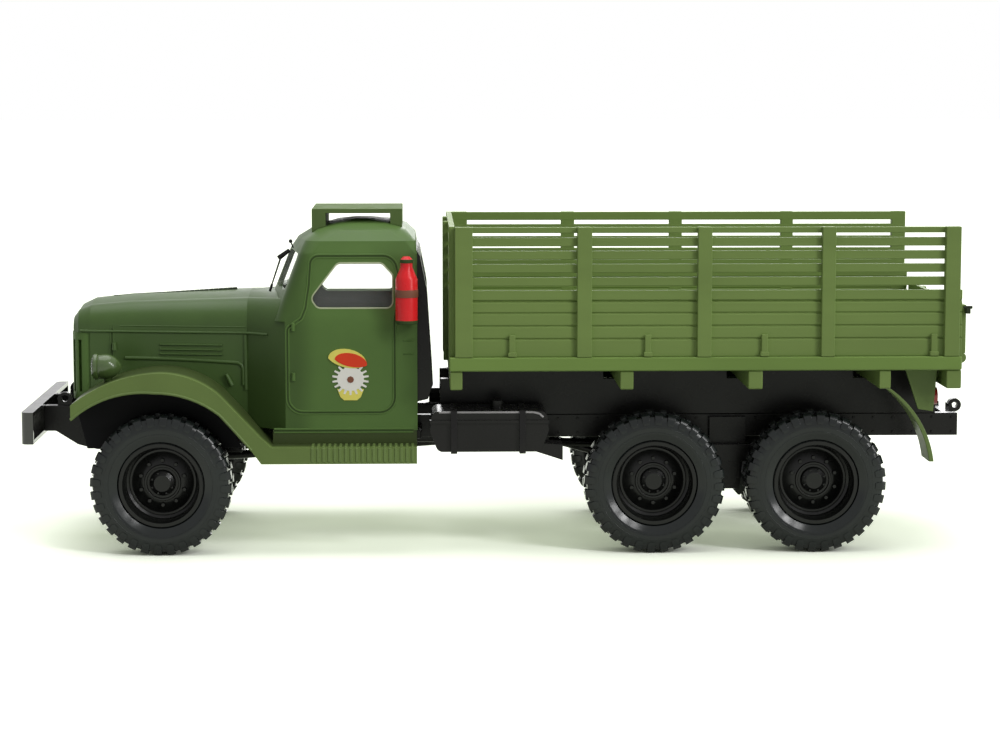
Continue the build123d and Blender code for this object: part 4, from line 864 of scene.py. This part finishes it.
def build_bonnet_trim():
    bm = bmesh.new()
    nose = [(-68.7, z) for z in spaced(27.0, 11.52, 8)]
    for side in (-1, 1):
        for path, across, out in bonnet_lines():
            add_ribbon(bm, path, wide(BEAD, across, out), bonnet_side, side)
        add_ribbon(bm, nose, SEAM, bonnet_side, side, groove=SEAM_GROOVE)
        for x, z0, z1, lean in CATCHES:
            y = side * (bonnet_side(x, z0) + 0.25)
            add_cylinder(bm, (x, y, z0), (x + lean, y, z1), 0.42, 12, 0.8)
    trim = object_of("bonnet_trim", bm, BONNET_GREEN_SHADED, 0.03)
    trim.data.materials.append(SEAM_GREEN)
    place(trim)


def build_bonnet_hinge():
    """The long hinge down the middle of the bonnet."""
    bm = bmesh.new()
    pitch = LID_HINGE_LENGTH / LID_KNUCKLES
    for x0 in spaced(LID_HINGE_X, LID_HINGE_LENGTH, LID_KNUCKLES)[:-1]:
        x1 = x0 + pitch - KNUCKLE_GAP
        z0, z1 = (LID_HINGE_Z + (x - LID_HINGE_X) * LID_HINGE_SLOPE for x in (x0, x1))
        add_cylinder(bm, (x0, 0.0, z0), (x1, 0.0, z1), 0.42, 14)
    hinge = place(object_of("bonnet_hinge", bm, DARK_GREEN, 0.03))


BOARD_RIBS = 19
BOARD_RIB_X, BOARD_RIB_PITCH = -33.5, 0.95
BOARD_RIB_PARTS = ((24.9, 25.14, 16.35, 18.75), (20.6, 24.9, 18.6, 18.95))  # Y from, to, Z from, to


def build_running_board_ribs():
    """Ribs over the running board's lip and tread, behind the wing."""
    bm = bmesh.new()
    for side in (-1, 1):
        for index in range(BOARD_RIBS):
            x = BOARD_RIB_X + index * BOARD_RIB_PITCH
            for y0, y1, z0, z1 in BOARD_RIB_PARTS:
                low, high = sorted((side * y0, side * y1))
                add_box(bm, x, x + BOARD_RIB_PITCH * 0.5, low, high, z0, z1)
    ribs = place(object_of("running_board_ribs", bm, WING_GREEN, 0.08))


WING_CROWN = (-60.2, 28.1)
BEAD_RISE = 0.22  # above the arch's edge


def build_wing_edges():
    """A rolled bead along each wheel arch."""
    arch = arc_through((-74.3, 23.56), (-69.6, 26.6), WING_CROWN, 14)
    arch += arc_through(WING_CROWN, (-54.4, 27.2), (-48.9, 24.2), 8)[1:]
    arch += [(-46.3, 21.3), (-43.6, 18.2)]
    path = [(x, z + BEAD_RISE) for x, z in arch]
    bm = bmesh.new()
    for side in (-1, 1):
        add_ribbon(bm, path, wide(BEAD, 0.9, 0.9), lambda x, z: WING_HALF, side)
    beads = place(object_of("wing_beads", bm, WING_GREEN))


def arc_through(start, middle, end, steps):
    """Points on the circle through three (x, z) points."""
    (ax, ay), (bx, by), (cx, cy) = start, middle, end
    a2, b2, c2 = ax**2 + ay**2, bx**2 + by**2, cx**2 + cy**2
    scale = 2 * (ax * (by - cy) + bx * (cy - ay) + cx * (ay - by))
    ux = (a2 * (by - cy) + b2 * (cy - ay) + c2 * (ay - by)) / scale
    uy = (a2 * (cx - bx) + b2 * (ax - cx) + c2 * (bx - ax)) / scale
    first = math.atan2(ay - uy, ax - ux)
    half = (math.atan2(by - uy, bx - ux) - first) % (2 * math.pi)
    full = (math.atan2(cy - uy, cx - ux) - first) % (2 * math.pi)
    if half > full:
        full -= 2 * math.pi
    radius = math.hypot(ax - ux, ay - uy)
    path = []
    for step in range(steps + 1):
        angle = first + full * step / steps
        path.append((ux + radius * math.cos(angle), uy + radius * math.sin(angle)))
    return path


# The badge: a generic red lens over a white spoked wheel on a gold base.
BADGE_X = -26.8
BADGE_ROOT = 0.05  # how deep its plates reach into the door
BASE_Z = 29.7
BASE = ((-2.3, -1.35), (2.3, -1.35), (1.75, -2.75), (1.1, -3.3), (-1.1, -3.3), (-1.75, -2.75))
WHEEL_Z = 30.1
WHEEL_LIFT = 0.18
DISC_HALF_X, DISC_HALF_Z = 2.3, 2.05
SPOKES = 18
SPOKE_FROM, SPOKE_TO, SPOKE_HALF, SPOKE_LIFT = 1.9, 3.15, 0.24, 0.15
SPOKE_TAPER, WHEEL_SQUASH = 0.7, 0.88
DOT_Z, DOT_RADIUS = 30.0, 0.6
LENS_LEAN = -0.20
LENSES = (  # name, X and Z of the middle, half width, half height, material, lift
    ("edge", BADGE_X - 0.45, 33.75, 3.3, 2.0, BADGE_GOLD, 0.21),
    ("lens", BADGE_X + 0.15, 33.45, 2.8, 1.45, BADGE_RED, 0.27),
)


def add_plate(bm, outline, side, lift):
    y0, y1 = side * (CAB_HALF - BADGE_ROOT), side * (CAB_HALF + lift)
    add_prism(bm, outline, lambda u, v: (u, y0, v), lambda u, v: (u, y1, v))


def badge_plate(name, outline, material, lift, side):
    bm = bmesh.new()
    add_plate(bm, outline, side, lift)
    place(object_of(name, bm, material, 0.02, 1))


def badge_wheel(side):
    """The wheel's white disc and its ring of short spokes."""
    bm = bmesh.new()
    disc = [(BADGE_X + DISC_HALF_X * u, WHEEL_Z + DISC_HALF_Z * v) for u, v in polygon_of(1.0, 36)]
    add_plate(bm, disc, side, WHEEL_LIFT)
    for index in range(SPOKES):
        angle = 2 * math.pi * (index + 0.5) / SPOKES
        along = Vector((math.cos(angle), math.sin(angle)))
        across = Vector((-along.y, along.x)) * SPOKE_HALF
        quad = (
            along * SPOKE_FROM + across,
            along * SPOKE_FROM - across,
            along * SPOKE_TO - across * SPOKE_TAPER,
            along * SPOKE_TO + across * SPOKE_TAPER,
        )
        add_plate(bm, [(BADGE_X + u, WHEEL_Z + v * WHEEL_SQUASH) for u, v in quad], side, SPOKE_LIFT)
    return bm


def lens_outline(half_x, half_z):
    """A lens between two arcs, turned a little about its middle."""
    upper = arc_through((-1.0, -0.35), (0.0, 0.75), (1.0, -0.35), 14)
    lower = arc_through((1.0, -0.35), (0.0, -0.85), (-1.0, -0.35), 12)[1:-1]
    turn = Matrix.Rotation(LENS_LEAN, 2)
    return [tuple(turn @ Vector((u * half_x, v * half_z))) for u, v in upper + lower]


def build_badge():
    for side_name, side in SIDES:
        base = [(BADGE_X + u, BASE_Z + v) for u, v in BASE]
        badge_plate(f"badge_base_{side_name}", base, BADGE_GOLD, 0.12, side)
        place(object_of(f"badge_wheel_{side_name}", badge_wheel(side), BADGE_WHITE))
        dot = [(BADGE_X + u, DOT_Z + v) for u, v in polygon_of(DOT_RADIUS, 8)]
        badge_plate(f"badge_dot_{side_name}", dot, BOTTLE_BAND, 0.24, side)
        for name, x, z, half_x, half_z, material, lift in LENSES:
            outline = [(x + u, z + v) for u, v in lens_outline(half_x, half_z)]
            badge_plate(f"badge_{name}_{side_name}", outline, material, lift, side)


build_door_lines()
build_cab_fittings()
build_bonnet_trim()
build_bonnet_hinge()
build_running_board_ribs()
build_wing_edges()
build_badge()


# ================================================================ lamps, extinguisher and tank fittings
LAMP_X, LAMP_Y, LAMP_Z = -70.8, 18.0, 32.1
LAMP_RIM = ((-0.2, 1.75), (-0.25, 2.1), (0.0, 2.28), (0.45, 2.28), (0.6, 2.1))  # along, radius
MIRROR_X = -70.9
MIRROR = ((0.0, 0.05), (0.0, 1.72), (-0.12, 1.74), (-0.12, 0.05))
BOTTLE_X, BOTTLE_Y = -17.1, -22.2
BAND = ((44.35, 1.85), (44.35, 1.97), (44.5, 2.0), (45.5, 2.0), (45.65, 1.97), (45.65, 1.85))
BOTTLE_FOOT = (
    (39.75, 0.3),
    (39.75, 1.7),
    (39.85, 1.9),
    (40.35, 1.96),
    (40.45, 1.85),
    (40.45, 0.3),
)
BOTTLE_VALVE = ((50.2, 0.5), (50.2, 1.14), (50.75, 1.14), (50.85, 1.0), (50.85, 0.5))
CLAMP, CLAMP_HEIGHT = (-17.9, -16.3, -20.7, -20.1), 0.8  # X from, to, Y from, to
CLAMPS_Z = (42.0, 46.6)
STRAP_OUTLINE = (  # Y, Z: over the tank's top, face and foot, and back outside
    (-22.2, 24.6),
    (-22.55, 24.3),
    (-22.55, 17.75),
    (-22.2, 17.5),
    (-12.2, 17.5),
    (-12.2, 17.3),
    (-22.5, 17.3),
    (-22.8, 17.6),
    (-22.8, 24.4),
    (-22.5, 24.85),
    (-12.2, 24.85),
    (-12.2, 24.6),
)
STRAPS_X, STRAP_WIDTH = (-9.6, 2.2), 1.1
TANK_EDGE_Y = -22.2
TANK_EDGE = ((-11.6, 24.45), (4.6, 24.45), (5.6, 24.2), (6.3, 23.6))  # X, Z


def build_headlamps():
    """Rims round the headlamps and the mirrors behind their lenses."""
    rims, mirrors = bmesh.new(), bmesh.new()
    for side in (-1, 1):
        add_lathe(rims, LAMP_RIM, 40, (LAMP_X, side * LAMP_Y, LAMP_Z), axis="X")
        add_lathe(mirrors, MIRROR, 32, (MIRROR_X, side * LAMP_Y, LAMP_Z), axis="X")
    rims = place(object_of("headlamp_rims", rims, LAMP_GREEN_SHADED))
    mirrors = place(object_of("headlamp_mirrors", mirrors, LAMP_SILVER))


def build_extinguisher_fittings():
    """Label band, foot ring, valve and the two clamps."""
    centre = (BOTTLE_X, BOTTLE_Y, 0.0)
    band = bmesh.new()
    add_lathe(band, BAND, 48, centre, axis="Z")
    fitted = place(object_of("extinguisher_band", band, BOTTLE_BAND))
    dark = bmesh.new()
    add_lathe(dark, BOTTLE_FOOT, 48, centre, axis="Z")
    add_lathe(dark, BOTTLE_VALVE, 32, centre, axis="Z")
    for z in CLAMPS_Z:
        add_box(dark, *CLAMP, z, z + CLAMP_HEIGHT)
    fitted = place(object_of("extinguisher_fittings", dark, SEAM_GREEN, 0.05))


def build_tank_fittings():
    """The tank's straps and a pale line along its upper edge, a painted highlight."""
    bm = bmesh.new()
    for x0 in STRAPS_X:
        x1 = x0 + STRAP_WIDTH
        add_prism(bm, STRAP_OUTLINE, lambda u, v: (x0, u, v), lambda u, v: (x1, u, v))
    fitted = place(object_of("tank_straps", bm, CHASSIS_BLACK, 0.06))
    # A pale line along the tank's upper edge: a painted highlight.
    bm = bmesh.new()
    for (x0, z0), (x1, z1) in zip(TANK_EDGE, TANK_EDGE[1:]):
        add_cylinder(bm, (x0, TANK_EDGE_Y, z0), (x1, TANK_EDGE_Y, z1), 0.2, 12)
    fitted = place(object_of("tank_highlight_line", bm, TANK_HIGHLIGHT_GREY))


RIVETS = 26
RIVET_X, RIVET_PITCH = -8.0, 3.5
RIVETS_Z = (19.1, 21.7)
RIVET_Y = (9.35, 9.62)  # root, head


def build_rivets():
    """Rivet heads along the frame rails."""
    bm = bmesh.new()
    for side in (-1, 1):
        y0, y1 = (side * y for y in RIVET_Y)
        for index in range(RIVETS):
            x = RIVET_X + index * RIVET_PITCH
            for z in RIVETS_Z:
                add_cylinder(bm, (x, y0, z), (x, y1, z), radius=0.26, sides=8, taper=0.6)
    rivets = place(object_of("frame_rivets", bm, CHASSIS_BLACK))


LATCH = (78.3, 79.0, 23.9, 26.3, 41.6, 42.5)  # X from, to, Y from, to, Z from, to
LATCH_PIN_X, LATCH_PIN_Y, LATCH_PIN_Z = (77.9, 79.4), 25.7, 42.65


def build_tailgate_fittings():
    """Latches at the tailgate's top corners."""
    bm = bmesh.new()
    x0, x1, y0, y1, z0, z1 = LATCH
    pin_x0, pin_x1 = LATCH_PIN_X
    for side in (-1, 1):
        low, high = sorted((side * y0, side * y1))
        add_box(bm, x0, x1, low, high, z0, z1)
        pin_y = side * LATCH_PIN_Y
        add_cylinder(bm, (pin_x0, pin_y, LATCH_PIN_Z), (pin_x1, pin_y, LATCH_PIN_Z), 0.27, 12)
    fitted = place(object_of("tailgate_latches", bm, DARK_GREEN, 0.06), "tailgate")


build_headlamps()
build_extinguisher_fittings()
build_tank_fittings()
build_rivets()
build_tailgate_fittings()


# ================================================================ studio
FILL_STRENGTH = 0.21
FLOOR_HALF = 4000.0
FLOOR_LIT = (0.34, 0.34, 0.33, 1.0)  # the floor's colour in the light it throws on the truck
FLOOR_SEEN = (0.96, 0.97, 0.93, 1.0)
FLOOR_GLOW = (0.47, 0.53, 0.385, 1.0)
GLOW_REACH = 18.0  # how far round it a wheel darkens the floor
LAMPS = (  # name, direction to the lamp, degrees, W/m2
    ("key_low", (0.795, -0.540, 0.273), 10.0, 0.45),
    ("key_middle", (0.665, -0.563, 0.487), 10.0, 0.69),
    ("key_high", (0.482, -0.581, 0.656), 10.0, 0.45),
    ("top", (-0.05, 0.12, 1.0), 56.0, 1.74),
    ("back", (0.10, 0.95, 0.18), 20.0, 0.34),
)
CAMERA_PLACE = (-0.01482, -0.470, 0.08254)
CAMERA_DIP, CAMERA_TURN = 6.585, -1.75  # degrees
CAMERA_LENS = 94.644


def seen_rays(tree):
    """1 for camera, glossy and transmission rays, 0 for the rays that light the truck."""
    rays = tree.nodes.new("ShaderNodeLightPath")
    either = tree.nodes.new("ShaderNodeMath")
    either.operation = "MAXIMUM"
    any_of = tree.nodes.new("ShaderNodeMath")
    any_of.operation = "MAXIMUM"
    tree.links.new(rays.outputs["Is Camera Ray"], either.inputs[0])
    tree.links.new(rays.outputs["Is Glossy Ray"], either.inputs[1])
    tree.links.new(either.outputs["Value"], any_of.inputs[0])
    tree.links.new(rays.outputs["Is Transmission Ray"], any_of.inputs[1])
    return any_of.outputs["Value"]


def build_world():
    world = bpy.data.worlds.new("studio")
    scene.world = world
    world.use_nodes = True
    tree = world.node_tree
    tree.nodes.clear()
    output = tree.nodes.new("ShaderNodeOutputWorld")
    mix = tree.nodes.new("ShaderNodeMixShader")
    for socket, strength in ((1, FILL_STRENGTH), (2, 1.0)):
        white = tree.nodes.new("ShaderNodeBackground")
        white.inputs["Color"].default_value = (1.0, 1.0, 1.0, 1.0)
        white.inputs["Strength"].default_value = strength
        tree.links.new(white.outputs["Background"], mix.inputs[socket])
    tree.links.new(seen_rays(tree), mix.inputs["Fac"])
    tree.links.new(mix.outputs["Shader"], output.inputs["Surface"])


def floor_material():
    """Plain and pale: white where it is lit, with the truck's shadow, deepest by the wheels."""
    material = bpy.data.materials.new("studio_floor")
    material.use_nodes = True
    tree = material.node_tree
    tree.nodes.clear()
    output = tree.nodes.new("ShaderNodeOutputMaterial")
    diffuse = tree.nodes.new("ShaderNodeBsdfDiffuse")
    tone = tree.nodes.new("ShaderNodeMix")
    tone.data_type = "RGBA"
    tone.inputs["A"].default_value = FLOOR_LIT
    tone.inputs["B"].default_value = FLOOR_SEEN
    glow = tree.nodes.new("ShaderNodeEmission")
    glow.inputs["Color"].default_value = FLOOR_GLOW
    near = tree.nodes.new("ShaderNodeAmbientOcclusion")
    near.samples = 3
    near.inputs["Distance"].default_value = GLOW_REACH * MM
    strength = tree.nodes.new("ShaderNodeMath")
    strength.operation = "MULTIPLY"
    both = tree.nodes.new("ShaderNodeAddShader")
    seen = seen_rays(tree)
    tree.links.new(seen, strength.inputs[0])
    tree.links.new(near.outputs["AO"], strength.inputs[1])
    tree.links.new(strength.outputs["Value"], glow.inputs["Strength"])
    tree.links.new(seen, tone.inputs["Factor"])
    tree.links.new(tone.outputs["Result"], diffuse.inputs["Color"])
    tree.links.new(diffuse.outputs["BSDF"], both.inputs[0])
    tree.links.new(glow.outputs["Emission"], both.inputs[1])
    tree.links.new(both.outputs["Shader"], output.inputs["Surface"])
    return material


def build_floor():
    bm = bmesh.new()
    ends = ((-1, -1), (1, -1), (1, 1), (-1, 1))
    bm.faces.new([bm.verts.new((x * FLOOR_HALF, y * FLOOR_HALF, 0.0)) for x, y in ends])
    floor = object_of("studio_floor", bm, floor_material())


def build_lamps():
    for name, direction, softness, strength in LAMPS:
        data = bpy.data.lights.new(name, "SUN")
        data.angle = math.radians(softness)
        data.energy = strength
        lamp = bpy.data.objects.new(name, data)
        scene.collection.objects.link(lamp)
        lamp.rotation_euler = Vector(direction).to_track_quat("Z", "Y").to_euler()


def build_camera():
    data = bpy.data.cameras.new("photo_camera")
    data.sensor_width = 36.0
    data.lens = CAMERA_LENS
    data.clip_start = 0.01
    data.clip_end = 20.0
    camera = bpy.data.objects.new("photo_camera", data)
    scene.collection.objects.link(camera)
    camera.location = CAMERA_PLACE
    camera.rotation_euler = (math.radians(90.0 - CAMERA_DIP), 0.0, math.radians(CAMERA_TURN))
    bpy.context.scene.camera = camera


build_world()
build_floor()
build_lamps()
build_camera()
scene.view_settings.view_transform = "Standard"
